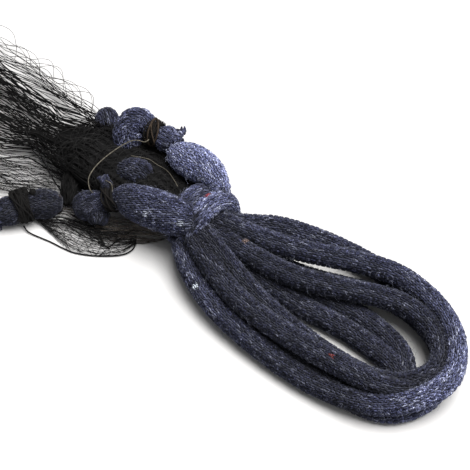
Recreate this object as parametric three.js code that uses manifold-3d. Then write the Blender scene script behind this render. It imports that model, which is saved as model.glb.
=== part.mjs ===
// Bird netting: the gathered end of a fine net, with its end loops of knitted cord laid in a hank.
// Millimetres, +Z up. The bundle lies along X: the hank reaches out to +X, the net fans out to -X.
// The origin is on the floor, under the turns of cord that hold the neck of the hank.

import * as THREE from "three";
import initManifold from "manifold-3d";

const kernel = await initManifold();
kernel.setup();

// Sizes shared by the pieces
const CORD_RADIUS = 3.0;
const PIECE_GAP = 0.3;
const JOIN_TOLERANCE = 0.05;
const CORD_SIDES = 10;
const LOOP_STEPS = 3;
const END_STEPS = 2;
const RADIUS_TENSION = 0.3;
const UP = [0, 0, 1];

// The five end loops. Each leaves the neck on the far side, turns at its tip and comes back near side.
const NECK_BACK_X = -4;
const NECK_FRONT_X = 3.5;
const NECK_STAGGER = 0.35;
const NECK_SHARE = 0.5;
const NECK_MIDDLE = { y: 3.0, z: 8.2 };
const HANK_LOOPS = {
  outerUpper: {
    farNeck: { y: 4, z: 11 },
    farMiddle: { x: 20, y: 9.2, z: 9.8 },
    farSide: { x: 48, y: 21.4, z: 8.6 },
    tip: { x: 75.3, y: 3.5, z: 8.4 },
    nearSide: { x: 50, y: -14.8, z: 3.3 },
    nearMiddle: { x: 18, y: -13.9, z: 4.5 },
    nearNeck: { y: -8.8, z: 6.4 },
  },
  outerLower: {
    farNeck: { y: 7, z: 8 },
    farMiddle: { x: 15, y: 17, z: 5.4 },
    farSide: { x: 40, y: 23.4, z: 2.8 },
    tip: { x: 72.8, y: 1.8, z: 2.8 },
    nearSide: { x: 61, y: -12.0, z: 2.8 },
    nearMiddle: { x: 26, y: -9, z: 2.8 },
    nearNeck: { y: -3.5, z: 4.5 },
  },
  innerUpper: {
    farNeck: { y: 1, z: 10 },
    farMiddle: { x: 26, y: 3.6, z: 8.8 },
    farSide: { x: 54, y: 15.4, z: 7.8 },
    tip: { x: 71, y: 5.6, z: 7.8 },
    nearSide: { x: 57, y: -5.4, z: 3.8 },
    nearMiddle: { x: 27, y: -6, z: 5.6 },
    nearNeck: { y: -2, z: 11 },
  },
  innerHairpin: {
    farNeck: { y: 2, z: 6 },
    farMiddle: { x: 26, y: 5, z: 3.0 },
    farSide: { x: 46, y: 8.7, z: 2.8 },
    tip: { x: 65.4, y: 0.4, z: 2.8 },
    nearSide: { x: 48, y: 3.2, z: 2.8 },
    nearMiddle: { x: 28, y: 1.2, z: 3.2 },
    nearNeck: { y: 0.5, z: 7 },
  },
  middle: {
    farNeck: { y: 3.5, z: 5 },
    farMiddle: { x: 26, y: 9, z: 3.0 },
    farSide: { x: 50, y: 18, z: 2.8 },
    tip: { x: 72.2, y: 3.5, z: 5.4 },
    nearSide: { x: 54, y: -9.4, z: 8.3 },
    nearMiddle: { x: 22, y: -10.4, z: 8.6 },
    nearNeck: { y: -5, z: 10 },
  },
};
const TIP_SHOULDER = Math.SQRT1_2;

// The turns of cord round the neck: upright ellipses side by side, each leaning a little along X
const WRAPS = [
  { x: 0.6, y: 3.0, z: 8.2, halfWidth: 7.0, halfHeight: 7.0, lean: 0.05, slant: 0.4, radius: 3.1 },
  { x: -4.8, y: 3.0, z: 8.0, halfWidth: 6.4, halfHeight: 6.2, lean: 0.05, slant: 0.4, radius: 3.1 },
];
const WRAP_POINTS = 16;

// The cord ends, a row for each section from the neck outwards
const UPPER_END = [
  { x: 0.2, y: 8.8, z: 12.2, radius: 2.4 },
  { x: -3.4, y: 10.8, z: 14.5, radius: 3.3 },
  { x: -6.4, y: 11.4, z: 15.9, radius: 4.2 },
  { x: -11.0, y: 11.2, z: 16.4, radius: 4.8 },
  { x: -15.4, y: 11.0, z: 15.9, radius: 4.4 },
  { x: -18.8, y: 11.0, z: 15.2, radius: 2.8 },
  { x: -20.0, y: 11.0, z: 14.8, radius: 1.5 },
];
const LOWER_END = [
  { x: 0.8, y: -1.5, z: 13.2, radius: 2.2 },
  { x: -1.0, y: -2.2, z: 13.2, radius: 4.2 },
  { x: -4.2, y: -3.0, z: 12.9, radius: 5.0 },
  { x: -9.4, y: -3.9, z: 12.0, radius: 5.3 },
  { x: -15.8, y: -5.0, z: 11.0, radius: 5.1 },
  { x: -21.0, y: -5.7, z: 10.1, radius: 4.0 },
  { x: -23.8, y: -7.0, z: 9.2, radius: 2.4 },
  { x: -26.6, y: -9.0, z: 7.2, radius: 3.4 },
  { x: -29.0, y: -10.6, z: 5.4, radius: 4.2 },
  { x: -31.6, y: -11.6, z: 4.6, radius: 3.6 },
  { x: -33.0, y: -12.2, z: 4.2, radius: 2.0 },
];
const LOWER_TUFT = [
  { x: -24.2, y: -7.0, z: 9.4, radius: 1.6 },
  { x: -26.2, y: -6.5, z: 11.6, radius: 1.9 },
  { x: -27.4, y: -6.2, z: 13.0, radius: 1.4 },
];
const LOWER_LUMP = [
  { x: -27.0, y: -9.6, z: 6.0, radius: 2.2 },
  { x: -25.4, y: -11.4, z: 4.2, radius: 3.2 },
  { x: -24.4, y: -12.8, z: 3.2, radius: 2.2 },
];
const INNER_END = [
  { x: -19.4, y: 2.6, z: 10.6, radius: 2.2 },
  { x: -21.6, y: 2.4, z: 11.3, radius: 3.9 },
  { x: -25.4, y: 1.2, z: 11.0, radius: 4.1 },
  { x: -28.4, y: -0.2, z: 10.2, radius: 2.4 },
];
const TOP_KNOT = [
  { x: -32.4, y: 6.6, z: 9.6, radius: 3.0 },
  { x: -33.2, y: 8.6, z: 12.4, radius: 4.3 },
  { x: -33.2, y: 11.2, z: 16.2, radius: 4.3 },
  { x: -31.0, y: 12.6, z: 17.4, radius: 3.4 },
  { x: -26.9, y: 12.6, z: 15.8, radius: 2.4 },
  { x: -23.2, y: 13.2, z: 15.6, radius: 3.8 },
  { x: -20.6, y: 14.2, z: 15.6, radius: 3.0 },
];
const SIDE_KNOB = [
  { x: -42.0, y: 10.6, z: 7.0, radius: 1.8 },
  { x: -43.6, y: 11.8, z: 8.0, radius: 3.3 },
  { x: -46.0, y: 13.4, z: 8.7, radius: 3.2 },
  { x: -47.6, y: 14.4, z: 8.9, radius: 1.6 },
];
const LEFT_END = [
  { x: -35.6, y: -14.2, z: 4.2, radius: 1.8 },
  { x: -37.0, y: -15.3, z: 4.3, radius: 3.4 },
  { x: -39.3, y: -17.6, z: 4.4, radius: 4.2 },
  { x: -41.2, y: -20.0, z: 4.6, radius: 3.7 },
  { x: -42.6, y: -22.0, z: 4.9, radius: 3.3 },
  { x: -44.2, y: -25.0, z: 4.4, radius: 4.1 },
  { x: -45.8, y: -27.4, z: 3.9, radius: 3.3 },
];

// Lashings: rings of wound thread round the waist of a cord end
const LASHINGS = {
  lashing_upper: {
    centre: { x: -26.9, y: 12.6, z: 15.8 },
    along: { x: 0.98, y: 0.18, z: 0 },
    waist: 2.5,
    width: 3.4,
  },
  lashing_lower: {
    centre: { x: -23.8, y: -7.0, z: 9.2 },
    along: { x: -0.78, y: -0.47, z: -0.42 },
    waist: 2.5,
    width: 3.2,
  },
  lashing_left: {
    centre: { x: -42.6, y: -22.0, z: 4.9 },
    along: { x: -0.5, y: -0.86, z: 0 },
    waist: 3.4,
    width: 4.2,
  },
};
const LASHING_THICKNESS = 1.1;
const RIDGE_DEPTH = 0.35;
const LASHING_POINTS = 10;

// The dense gathered root of the net, a row for each section along X
const NET_ROOT = [
  { x: -5, y: 2.6, z: 8.2, halfWidth: 7.0, halfHeight: 4.8 },
  { x: -18, y: 3.8, z: 7.6, halfWidth: 10.0, halfHeight: 6.2 },
  { x: -30, y: 3.2, z: 7.0, halfWidth: 10.6, halfHeight: 6.2 },
  { x: -42, y: 3.4, z: 6.2, halfWidth: 10.2, halfHeight: 5.8 },
  { x: -54, y: 2.0, z: 4.8, halfWidth: 7.6, halfHeight: 4.0 },
  { x: -66, y: 3.0, z: 3.4, halfWidth: 7.0, halfHeight: 2.0 },
];

// A fold of the net that drops from the root to the floor, a row for each section
const NET_DROP = [
  { x: -41.2, y: -2.0, z: 5.0, radius: 3.0 },
  { x: -39.2, y: -6.4, z: 3.6, radius: 3.0 },
  { x: -36.8, y: -9.8, z: 2.8, radius: 2.6 },
  { x: -35.0, y: -11.6, z: 1.8, radius: 1.7 },
];
const ROOT_FOLDS = 9;
const ROOT_FOLD_DEPTH = 0.14;
const ROOT_SIDES = 36;
const ROOT_STEPS = 2;

// The open net beyond the root: diamonds of strand in a sheet that is folded back and forth across its width
const NET_STRAND_WIDTH = 0.9;
const NET_THICKNESS = 1.0;
const NET_MAIN = {
  columns: 27,
  rows: 12,
  folds: 5,
  sections: [
    { x: -43, y: 2.9, halfWidth: 9.4, low: 1.9, high: 9.0 },
    { x: -58, y: -0.5, halfWidth: 16.5, low: 0.7, high: 6.5 },
    { x: -116, y: 5.0, halfWidth: 26, low: 0.5, high: 3.2 },
  ],
};

// The small flap of net on the floor beside the lower cord end
const NET_LOW = {
  columns: 9,
  rows: 10,
  folds: 2,
  sections: [
    { x: -12, y: -8.6, halfWidth: 3.0, low: 0.5, high: 1.9 },
    { x: -24, y: -17.2, halfWidth: 5.6, low: 0.5, high: 1.9 },
    { x: -38, y: -24.0, halfWidth: 5.0, low: 0.5, high: 1.9 },
  ],
};
const SLOPE_STEP = 0.01;
const KNOT_CORNERS = 4;

const vector = ({ x, y, z }) => new THREE.Vector3(x, y, z);

function material(color, roughness) {
  return new THREE.MeshStandardMaterial({ color, roughness, metalness: 0 });
}

function toSolid(positions, index) {
  const mesh = new kernel.Mesh({
    numProp: 3,
    vertProperties: Float32Array.from(positions),
    triVerts: Uint32Array.from(index),
  });
  return new kernel.Manifold(mesh);
}

function toMesh(name, solid, surface) {
  const data = solid.getMesh();
  const geometry = new THREE.BufferGeometry();
  geometry.setAttribute("position", new THREE.BufferAttribute(Float32Array.from(data.vertProperties), 3));
  geometry.setIndex(new THREE.BufferAttribute(Uint32Array.from(data.triVerts), 1));
  geometry.computeVertexNormals();
  const mesh = new THREE.Mesh(geometry, surface);
  mesh.name = name;
  return mesh;
}

function joined(solids) {
  return solids.reduce((whole, next) => whole.add(next));
}

// The one body that is left when slivers are dropped
function mainBody(solid) {
  const bodies = solid.decompose();
  return bodies.reduce((best, next) => (next.volume() > best.volume() ? next : best));
}

// What is left of a piece above the floor and clear of its neighbours
function fitted(piece, neighbours) {
  const clear = neighbours.reduce((rest, neighbour) => rest.subtract(neighbour), piece);
  return mainBody(clear.trimByPlane(UP, 0).simplify(JOIN_TOLERANCE));
}

// Sections with a smooth run between them: the radius follows its own curve
function smoothSections(sections, stepsBetween, closed) {
  const centres = new THREE.CatmullRomCurve3(sections.map(vector), closed);
  const widths = sections.map((section) => new THREE.Vector3(section.radius, 0, 0));
  const radii = new THREE.CatmullRomCurve3(widths, closed, "catmullrom", RADIUS_TENSION);
  const spans = closed ? sections.length : sections.length - 1;
  const count = spans * stepsBetween;
  const last = closed ? count - 1 : count;
  return Array.from({ length: last + 1 }, (_, step) => ({
    centre: centres.getPoint(step / count),
    along: centres.getTangent(step / count),
    radius: radii.getPoint(step / count).x,
  }));
}

// Side directions carried along the run without twist
function carriedSides(run) {
  let side = new THREE.Vector3(0, 0, 1).cross(run[0].along).normalize();
  return run.map(({ along }) => {
    side = side.clone().addScaledVector(along, -side.dot(along)).normalize();
    return side;
  });
}

// Triangles that join ring after ring of points, with both ends closed unless the run is a loop
function ringTriangles(rings, sides, closed) {
  const index = [];
  const spans = closed ? rings : rings - 1;
  for (let ring = 0; ring < spans; ring += 1) {
    const next = (ring + 1) % rings;
    for (let side = 0; side < sides; side += 1) {
      const turn = (side + 1) % sides;
      const a = ring * sides + side;
      const b = ring * sides + turn;
      const c = next * sides + side;
      const d = next * sides + turn;
      index.push(a, b, d, a, d, c);
    }
  }
  if (!closed) {
    const firstCentre = rings * sides;
    const lastRing = (rings - 1) * sides;
    for (let side = 0; side < sides; side += 1) {
      const turn = (side + 1) % sides;
      index.push(firstCentre, turn, side);
      index.push(firstCentre + 1, lastRing + side, lastRing + turn);
    }
  }
  return index;
}

function swept(run, sideways, { closed = false, grow = 0, sides = CORD_SIDES }) {
  const positions = [];
  const lastRing = run.length - 1;
  const pastEnd = (ring) => (closed ? 0 : grow * (Number(ring === lastRing) - Number(ring === 0)));
  run.forEach(({ centre, along, radius }, ring) => {
    const upward = along.clone().cross(sideways[ring]);
    for (let side = 0; side < sides; side += 1) {
      const angle = (2 * Math.PI * side) / sides;
      const point = centre.clone().addScaledVector(along, pastEnd(ring));
      point.addScaledVector(sideways[ring], Math.cos(angle) * (radius + grow));
      point.addScaledVector(upward, Math.sin(angle) * (radius + grow));
      positions.push(...point.toArray());
    }
  });
  if (!closed) {
    for (const ring of [0, lastRing]) {
      positions.push(...run[ring].centre.clone().addScaledVector(run[ring].along, pastEnd(ring)).toArray());
    }
  }
  return toSolid(positions, ringTriangles(run.length, sides, closed));
}

function sweep(sections, { stepsBetween, closed = false, grow = 0, sides = CORD_SIDES }) {
  const run = smoothSections(sections, stepsBetween, closed);
  return swept(run, carriedSides(run), { closed, grow, sides });
}

// A loop as two runs that meet at its tip, because its two ends lie in each other at the neck
function sweptLoop(sections, grow) {
  const run = smoothSections(sections, LOOP_STEPS, false);
  const sideways = carriedSides(run);
  const tip = Math.floor(run.length / 2);
  const far = swept(run.slice(0, tip + 1), sideways.slice(0, tip + 1), { grow });
  const near = swept(run.slice(tip), sideways.slice(tip), { grow });
  return far.add(near);
}

// The point on the rounded tip that lies between a side of the loop and its tip
function shoulder(side, tip) {
  return {
    x: side.x + (tip.x - side.x) * TIP_SHOULDER,
    y: tip.y + (side.y - tip.y) * TIP_SHOULDER,
    z: (side.z + tip.z) / 2,
  };
}

function loopSections(loop, number) {
  const backX = NECK_BACK_X - NECK_STAGGER * number;
  const drawnIn = (place, middle) => middle + (place - middle) * NECK_SHARE;
  const gathered = ({ y, z }) => ({ y: drawnIn(y, NECK_MIDDLE.y), z: drawnIn(z, NECK_MIDDLE.z) });
  const stations = [
    { x: backX, ...gathered(loop.farNeck) },
    { x: NECK_FRONT_X, ...loop.farNeck },
    loop.farMiddle,
    loop.farSide,
    shoulder(loop.farSide, loop.tip),
    loop.tip,
    shoulder(loop.nearSide, loop.tip),
    loop.nearSide,
    loop.nearMiddle,
    { x: NECK_FRONT_X, ...loop.nearNeck },
    { x: backX - NECK_STAGGER / 2, ...gathered(loop.nearNeck) },
  ];
  return stations.map((station) => ({ ...station, radius: CORD_RADIUS }));
}

function loopHank(grow = 0) {
  const cords = Object.values(HANK_LOOPS).map(loopSections);
  return joined(cords.map((sections) => sweptLoop(sections, grow)));
}

function neckTurn({ x, y, z, halfWidth, halfHeight, lean, slant, radius }, grow) {
  const sections = Array.from({ length: WRAP_POINTS }, (_, point) => {
    const angle = (2 * Math.PI * point) / WRAP_POINTS;
    const across = halfWidth * Math.cos(angle);
    return {
      x: x + lean * across - slant * Math.sin(angle),
      y: y + across,
      z: z + halfHeight * Math.sin(angle),
      radius,
    };
  });
  return sweep(sections, { stepsBetween: 1, closed: true, grow });
}

function neckWrap(grow = 0) {
  return joined(WRAPS.map((turn) => neckTurn(turn, grow)));
}

function cordEnd(sections, grow = 0) {
  return sweep(sections, { stepsBetween: END_STEPS, grow });
}

function lowerEnd(grow = 0) {
  return joined([LOWER_END, LOWER_TUFT, LOWER_LUMP].map((sections) => cordEnd(sections, grow)));
}

// A ring of wound thread with two ridges, turned about the cord that it binds
function lashing({ centre, along, waist, width }, grow = 0) {
  const inner = waist + PIECE_GAP - grow;
  const outer = waist + PIECE_GAP + LASHING_THICKNESS + grow;
  const half = width / 2 + grow;
  const valley = outer - RIDGE_DEPTH;
  const profile = [
    { radius: inner, height: -half },
    { radius: valley, height: -half },
    { radius: outer, height: -half / 2 },
    { radius: valley, height: 0 },
    { radius: outer, height: half / 2 },
    { radius: valley, height: half },
    { radius: inner, height: half },
  ];
  const upright = new THREE.Vector3(...UP);
  const turn = new THREE.Quaternion().setFromUnitVectors(upright, vector(along).normalize());
  const positions = [];
  for (let step = 0; step < LASHING_POINTS; step += 1) {
    const angle = (2 * Math.PI * step) / LASHING_POINTS;
    for (const { radius, height } of profile) {
      const point = new THREE.Vector3(radius * Math.cos(angle), radius * Math.sin(angle), height);
      point.applyQuaternion(turn).add(vector(centre));
      positions.push(...point.toArray());
    }
  }
  const index = ringTriangles(LASHING_POINTS, profile.length, true);
  const solid = toSolid(positions, index);
  return solid.volume() > 0 ? solid : toSolid(positions, index.reverse());
}

// The dense root: an oval run whose outline rises and falls in gathered folds
function netRoot() {
  const centres = new THREE.CatmullRomCurve3(NET_ROOT.map(vector));
  const halves = new THREE.CatmullRomCurve3(
    NET_ROOT.map(({ halfWidth, halfHeight }) => new THREE.Vector3(halfWidth, halfHeight, 0)),
  );
  const count = (NET_ROOT.length - 1) * ROOT_STEPS;
  const positions = [];
  for (let ring = 0; ring <= count; ring += 1) {
    const centre = centres.getPoint(ring / count);
    const half = halves.getPoint(ring / count);
    for (let side = 0; side < ROOT_SIDES; side += 1) {
      const angle = (2 * Math.PI * side) / ROOT_SIDES;
      const fold = 1 + ROOT_FOLD_DEPTH * Math.cos(ROOT_FOLDS * angle);
      positions.push(centre.x);
      positions.push(centre.y - half.x * fold * Math.cos(angle));
      positions.push(centre.z + half.y * fold * Math.sin(angle));
    }
  }
  positions.push(...centres.getPoint(0).toArray(), ...centres.getPoint(1).toArray());
  const index = ringTriangles(count + 1, ROOT_SIDES, false);
  const solid = toSolid(positions, index);
  return solid.volume() > 0 ? solid : toSolid(positions, index.reverse());
}

// The section of a sheet at a share of its length, straight between the two rows on either side
function sheetSection(sections, along) {
  const lengthTo = ({ x, y }, row) => Math.hypot(x - sections[row].x, y - sections[row].y);
  const spans = sections.slice(1).map(lengthTo);
  let rest = along * spans.reduce((sum, span) => sum + span);
  let row = 0;
  while (row < spans.length - 1 && rest > spans[row]) {
    rest -= spans[row];
    row += 1;
  }
  const share = rest / spans[row];
  const mix = (column) => THREE.MathUtils.lerp(sections[row][column], sections[row + 1][column], share);
  return { x: mix("x"), y: mix("y"), halfWidth: mix("halfWidth"), low: mix("low"), high: mix("high") };
}

// Where a knot of the folded sheet lies: across runs from 0 to 1 over the width, along from 0 to 1 outwards
function sheetPoint({ sections, folds }, across, along) {
  const first = sections[0];
  const last = sections[sections.length - 1];
  const sideways = new THREE.Vector3(first.y - last.y, last.x - first.x, 0).normalize();
  const { x, y, halfWidth, low, high } = sheetSection(sections, along);
  const wave = 0.5 - 0.5 * Math.cos(2 * Math.PI * folds * across);
  const point = new THREE.Vector3(x, y, low + (high - low) * wave);
  return point.addScaledVector(sideways, (2 * across - 1) * halfWidth);
}

// A knot of the net: four corners on each face, pointing across and along the sheet
function knotCorners(net, column, row) {
  const across = column / (net.columns - 1);
  const along = row / net.rows;
  const centre = sheetPoint(net, across, along);
  const acrossDirection = sheetPoint(net, across + SLOPE_STEP, along);
  acrossDirection.sub(sheetPoint(net, across - SLOPE_STEP, along)).normalize();
  const alongDirection = sheetPoint(net, across, along + SLOPE_STEP);
  alongDirection.sub(sheetPoint(net, across, along - SLOPE_STEP)).normalize();
  const facing = acrossDirection.clone().cross(alongDirection).normalize();
  const reach = NET_STRAND_WIDTH * TIP_SHOULDER;
  const corner = (direction, distance, side) =>
    centre
      .clone()
      .addScaledVector(direction, distance)
      .addScaledVector(facing, (side * NET_THICKNESS) / 2)
      .toArray();
  return [1, -1].flatMap((side) => [
    corner(acrossDirection, reach, side),
    corner(alongDirection, reach, side),
    corner(acrossDirection, -reach, side),
    corner(alongDirection, -reach, side),
  ]);
}

const RIGHT = 0;
const AHEAD = 1;
const LEFT = 2;
const BEHIND = 3;

// The open net as one solid: knots at every other place of the grid, with a strand to each diagonal neighbour
function openNet(net) {
  const positions = [];
  const index = [];
  const firstCorner = new Map();
  const key = (column, row) => `${column},${row}`;
  for (let row = 0; row <= net.rows; row += 1) {
    for (let column = row % 2; column < net.columns; column += 2) {
      firstCorner.set(key(column, row), positions.length / 3);
      knotCorners(net, column, row).forEach((point) => positions.push(...point));
    }
  }
  const quad = (a, b, c, d) => index.push(a, b, c, a, c, d);
  // A flat face above, the same one turned over below
  const bothFaces = (corners) => {
    quad(...corners);
    quad(...corners.map((corner) => corner + KNOT_CORNERS).reverse());
  };
  const wall = (from, to) => quad(from, from + KNOT_CORNERS, to + KNOT_CORNERS, to);
  const strand = (startA, startB, endA, endB) => {
    bothFaces([startA, endA, endB, startB]);
    wall(startA, endA);
    wall(endB, startB);
  };
  for (const [place, first] of firstCorner) {
    const [column, row] = place.split(",").map(Number);
    bothFaces([first + RIGHT, first + AHEAD, first + LEFT, first + BEHIND]);
    const aheadRight = firstCorner.get(key(column + 1, row + 1));
    const aheadLeft = firstCorner.get(key(column - 1, row + 1));
    const behindRight = firstCorner.get(key(column + 1, row - 1));
    const behindLeft = firstCorner.get(key(column - 1, row - 1));
    if (aheadRight === undefined) wall(first + RIGHT, first + AHEAD);
    else strand(first + RIGHT, first + AHEAD, aheadRight + BEHIND, aheadRight + LEFT);
    if (aheadLeft === undefined) wall(first + AHEAD, first + LEFT);
    else strand(first + AHEAD, first + LEFT, aheadLeft + RIGHT, aheadLeft + BEHIND);
    if (behindLeft === undefined) wall(first + LEFT, first + BEHIND);
    if (behindRight === undefined) wall(first + BEHIND, first + RIGHT);
  }
  const solid = toSolid(positions, index);
  return solid.volume() > 0 ? solid : toSolid(positions, index.reverse());
}

function netMain() {
  return joined([netRoot(), cordEnd(NET_DROP), openNet(NET_MAIN)]);
}

const cordSurface = material(0x3c4055, 0.95);
const lashingSurface = material(0x17130f, 0.7);
const netSurface = material(0x0c0c0e, 0.5);

// Each piece in turn is cut clear of the ones before it
const grown = {
  hank: loopHank(PIECE_GAP),
  wrap: neckWrap(PIECE_GAP),
  upper: cordEnd(UPPER_END, PIECE_GAP),
  lower: lowerEnd(PIECE_GAP),
  inner: cordEnd(INNER_END, PIECE_GAP),
  knot: cordEnd(TOP_KNOT, PIECE_GAP),
  knob: cordEnd(SIDE_KNOB, PIECE_GAP),
  left: cordEnd(LEFT_END, PIECE_GAP),
  lashings: joined(Object.values(LASHINGS).map((size) => lashing(size, PIECE_GAP))),
};
const { lashings: grownLashings, ...grownCords } = grown;
const cords = Object.values(grownCords);

const hank = fitted(loopHank(), []);
const lower = fitted(lowerEnd(), [grown.hank]);
const wrap = fitted(neckWrap(), [grown.hank, grown.lower]);
const upper = fitted(cordEnd(UPPER_END), [grown.hank, grown.wrap, grown.lower]);
const inner = fitted(cordEnd(INNER_END), [grown.upper, grown.lower]);
const knot = fitted(cordEnd(TOP_KNOT), [grown.upper, grown.inner]);
const knob = fitted(cordEnd(SIDE_KNOB), [grown.knot]);
const left = fitted(cordEnd(LEFT_END), [grown.lower]);
const main = fitted(netMain(), [...cords, grownLashings]);
const low = fitted(openNet(NET_LOW), [...cords, grownLashings]);

const group = new THREE.Group();
group.add(toMesh("loop_hank", hank, cordSurface));
group.add(toMesh("neck_wrap", wrap, cordSurface));
group.add(toMesh("upper_end", upper, cordSurface));
group.add(toMesh("lower_end", lower, cordSurface));
group.add(toMesh("inner_end", inner, cordSurface));
group.add(toMesh("top_knot", knot, cordSurface));
group.add(toMesh("side_knob", knob, cordSurface));
group.add(toMesh("left_end", left, cordSurface));
for (const [name, size] of Object.entries(LASHINGS)) {
  group.add(toMesh(name, fitted(lashing(size), cords), lashingSurface));
}
group.add(toMesh("net_main", main, netSurface));
group.add(toMesh("net_low", low, netSurface));

export default group;
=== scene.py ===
"""Looks of the bird netting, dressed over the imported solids: knitted cord, wound lashings and net thread.

Routes are in millimetres, in the part's own frame. They become metres when a mesh is made.
"""

import math

import bpy
import numpy as np
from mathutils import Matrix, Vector


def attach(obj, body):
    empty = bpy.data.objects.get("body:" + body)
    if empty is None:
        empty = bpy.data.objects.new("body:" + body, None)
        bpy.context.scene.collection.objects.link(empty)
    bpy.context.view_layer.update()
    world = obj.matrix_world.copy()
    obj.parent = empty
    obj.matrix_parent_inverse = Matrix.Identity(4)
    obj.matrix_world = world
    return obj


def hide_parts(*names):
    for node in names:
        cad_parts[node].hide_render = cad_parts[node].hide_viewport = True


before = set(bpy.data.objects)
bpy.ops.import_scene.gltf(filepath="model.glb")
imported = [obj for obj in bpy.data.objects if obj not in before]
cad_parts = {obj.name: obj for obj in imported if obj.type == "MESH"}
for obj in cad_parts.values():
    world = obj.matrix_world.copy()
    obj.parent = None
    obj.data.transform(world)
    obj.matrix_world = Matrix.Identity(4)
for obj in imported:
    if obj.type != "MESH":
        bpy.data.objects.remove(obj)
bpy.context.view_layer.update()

MM = 0.001
BODY = "root"
UP = np.array([0.0, 0.0, 1.0])
LEAST_LENGTH = 1e-9
ROUTE_STEPS = 24
POINTS_AT_ONCE = 2000
CLEARANCE_STEP = 2
END_MARGIN = 0.001

# The lowest that any point, and the middle of a net thread outside the flap, may lie
FLOOR_CLEARANCE = 0.02
THREAD_CLEARANCE = 0.15

# The photograph's view, in degrees and metres, with the camera's sensor in millimetres
VIEW_AZIMUTH = 41
VIEW_ELEVATION = 50
VIEW_DISTANCE = 0.45
VIEW_TARGET = Vector((0.003, 0.010, 0.0))
VIEW_WIDTH = 0.1222
SENSOR_WIDTH = 36
CLIP_START = 0.01

# The stage, in metres, and each light: direction to the right, to the camera and up, watts and colour
LIGHT_DISTANCE = 2.4
LIGHT_SIZE = 1.87
LIGHTS = {
    "key": ((0.34, 0.02, 1.06), 171.0, (1.0, 0.985, 0.96)),
    "fill": ((0.5, 0.8, 0.6), 12.8, (1.0, 0.99, 0.98)),
}
SURROUND_COLOUR = (0.97, 0.98, 1.0, 1)
SURROUND_STRENGTH = 0.23
FLOOR_COLOUR = (0.47, 0.47, 0.475, 1)
FLOOR_SIZE = 4

# The end loops of the hank, from the far neck round the tip to the near neck: y and z there, else x, y, z
CORD_RADIUS = 3.0
NECK_BACK_X = -4.0
NECK_FRONT_X = 3.5
NECK_STAGGER = 0.35
NECK_SHARE = 0.5
NECK_MIDDLE = (3.0, 8.2)
TIP_SHOULDER = math.sqrt(0.5)
LOOPS = {
    "outer_upper": [
        (4, 11), (20, 9.2, 9.8), (48, 21.4, 8.6), (75.3, 3.5, 8.4),
        (50, -14.8, 3.3), (18, -13.9, 4.5), (-8.8, 6.4),
    ],
    "outer_lower": [
        (7, 8), (15, 17, 5.4), (40, 23.4, 2.8), (72.8, 1.8, 2.8),
        (61, -12.0, 2.8), (26, -9, 2.8), (-3.5, 4.5),
    ],
    "inner_upper": [
        (1, 10), (26, 3.6, 8.8), (54, 15.4, 7.8), (71, 5.6, 7.8),
        (57, -5.4, 3.8), (27, -6, 5.6), (-2, 11),
    ],
    "inner_hairpin": [
        (2, 6), (26, 5, 3.0), (46, 8.7, 2.8), (65.4, 0.4, 2.8),
        (48, 3.2, 2.8), (28, 1.2, 3.2), (0.5, 7),
    ],
    "middle": [
        (3.5, 5), (26, 9, 3.0), (50, 18, 2.8), (72.2, 3.5, 5.4),
        (54, -9.4, 8.3), (22, -10.4, 8.6), (-5, 10),
    ],
}

# The turns of cord round the neck: x, y and z of the middle, half width and half height
WRAPS = [(0.6, 3.0, 8.2, 7.0, 7.0), (-4.8, 3.0, 8.0, 6.4, 6.2)]
WRAP_LEAN = 0.05
WRAP_SLANT = 0.4
WRAP_RADIUS = 3.1
WRAP_POINTS = 16

# The cord ends: x, y, z and radius of each section, from the neck outwards
CORD_ENDS = {
    "upper_end": [
        (0.2, 8.8, 12.2, 2.4), (-3.4, 10.8, 14.5, 3.3), (-6.4, 11.4, 15.9, 4.2), (-11.0, 11.2, 16.4, 4.8),
        (-15.4, 11.0, 15.9, 4.4), (-18.8, 11.0, 15.2, 2.8), (-20.0, 11.0, 14.8, 1.5),
    ],
    "lower_end": [
        (0.8, -1.5, 13.2, 2.2), (-1.0, -2.2, 13.2, 4.2), (-4.2, -3.0, 12.9, 5.0), (-9.4, -3.9, 12.0, 5.3),
        (-15.8, -5.0, 11.0, 5.1), (-21.0, -5.7, 10.1, 4.0), (-23.8, -7.0, 9.2, 2.4),
        (-26.6, -9.0, 7.2, 3.4), (-29.0, -10.6, 5.4, 4.2), (-31.6, -11.6, 4.6, 3.6),
        (-33.0, -12.2, 4.2, 2.0),
    ],
    "inner_end": [
        (-19.4, 2.6, 10.6, 2.2), (-21.6, 2.4, 11.3, 3.9), (-25.4, 1.2, 11.0, 4.1), (-28.4, -0.2, 10.2, 2.4),
    ],
    "top_knot": [
        (-32.4, 6.6, 9.6, 3.0), (-33.2, 8.6, 12.4, 4.3), (-33.2, 11.2, 16.2, 4.3), (-31.0, 12.6, 17.4, 3.4),
        (-26.9, 12.6, 15.8, 2.4), (-23.2, 13.2, 15.6, 3.8), (-20.6, 14.2, 15.6, 3.0),
    ],
    "side_knob": [
        (-42.0, 10.6, 7.0, 1.8), (-43.6, 11.8, 8.0, 3.3), (-46.0, 13.4, 8.7, 3.2), (-47.6, 14.4, 8.9, 1.6),
    ],
    "left_end": [
        (-35.6, -14.2, 4.2, 1.8), (-37.0, -15.3, 4.3, 3.4), (-39.3, -17.6, 4.4, 4.2),
        (-41.2, -20.0, 4.6, 3.7), (-42.6, -22.0, 4.9, 3.3), (-44.2, -25.0, 4.4, 4.1),
        (-45.8, -27.4, 3.9, 3.3),
    ],
}

# Lumps knitted onto a cord end, in the same columns
END_LUMPS = {
    "lower_end": [
        [(-24.2, -7.0, 9.4, 1.6), (-26.2, -6.5, 11.6, 1.9), (-27.4, -6.2, 13.0, 1.4)],
        [(-27.0, -9.6, 6.0, 2.2), (-25.4, -11.4, 4.2, 3.2), (-24.4, -12.8, 3.2, 2.2)],
    ],
}

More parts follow.
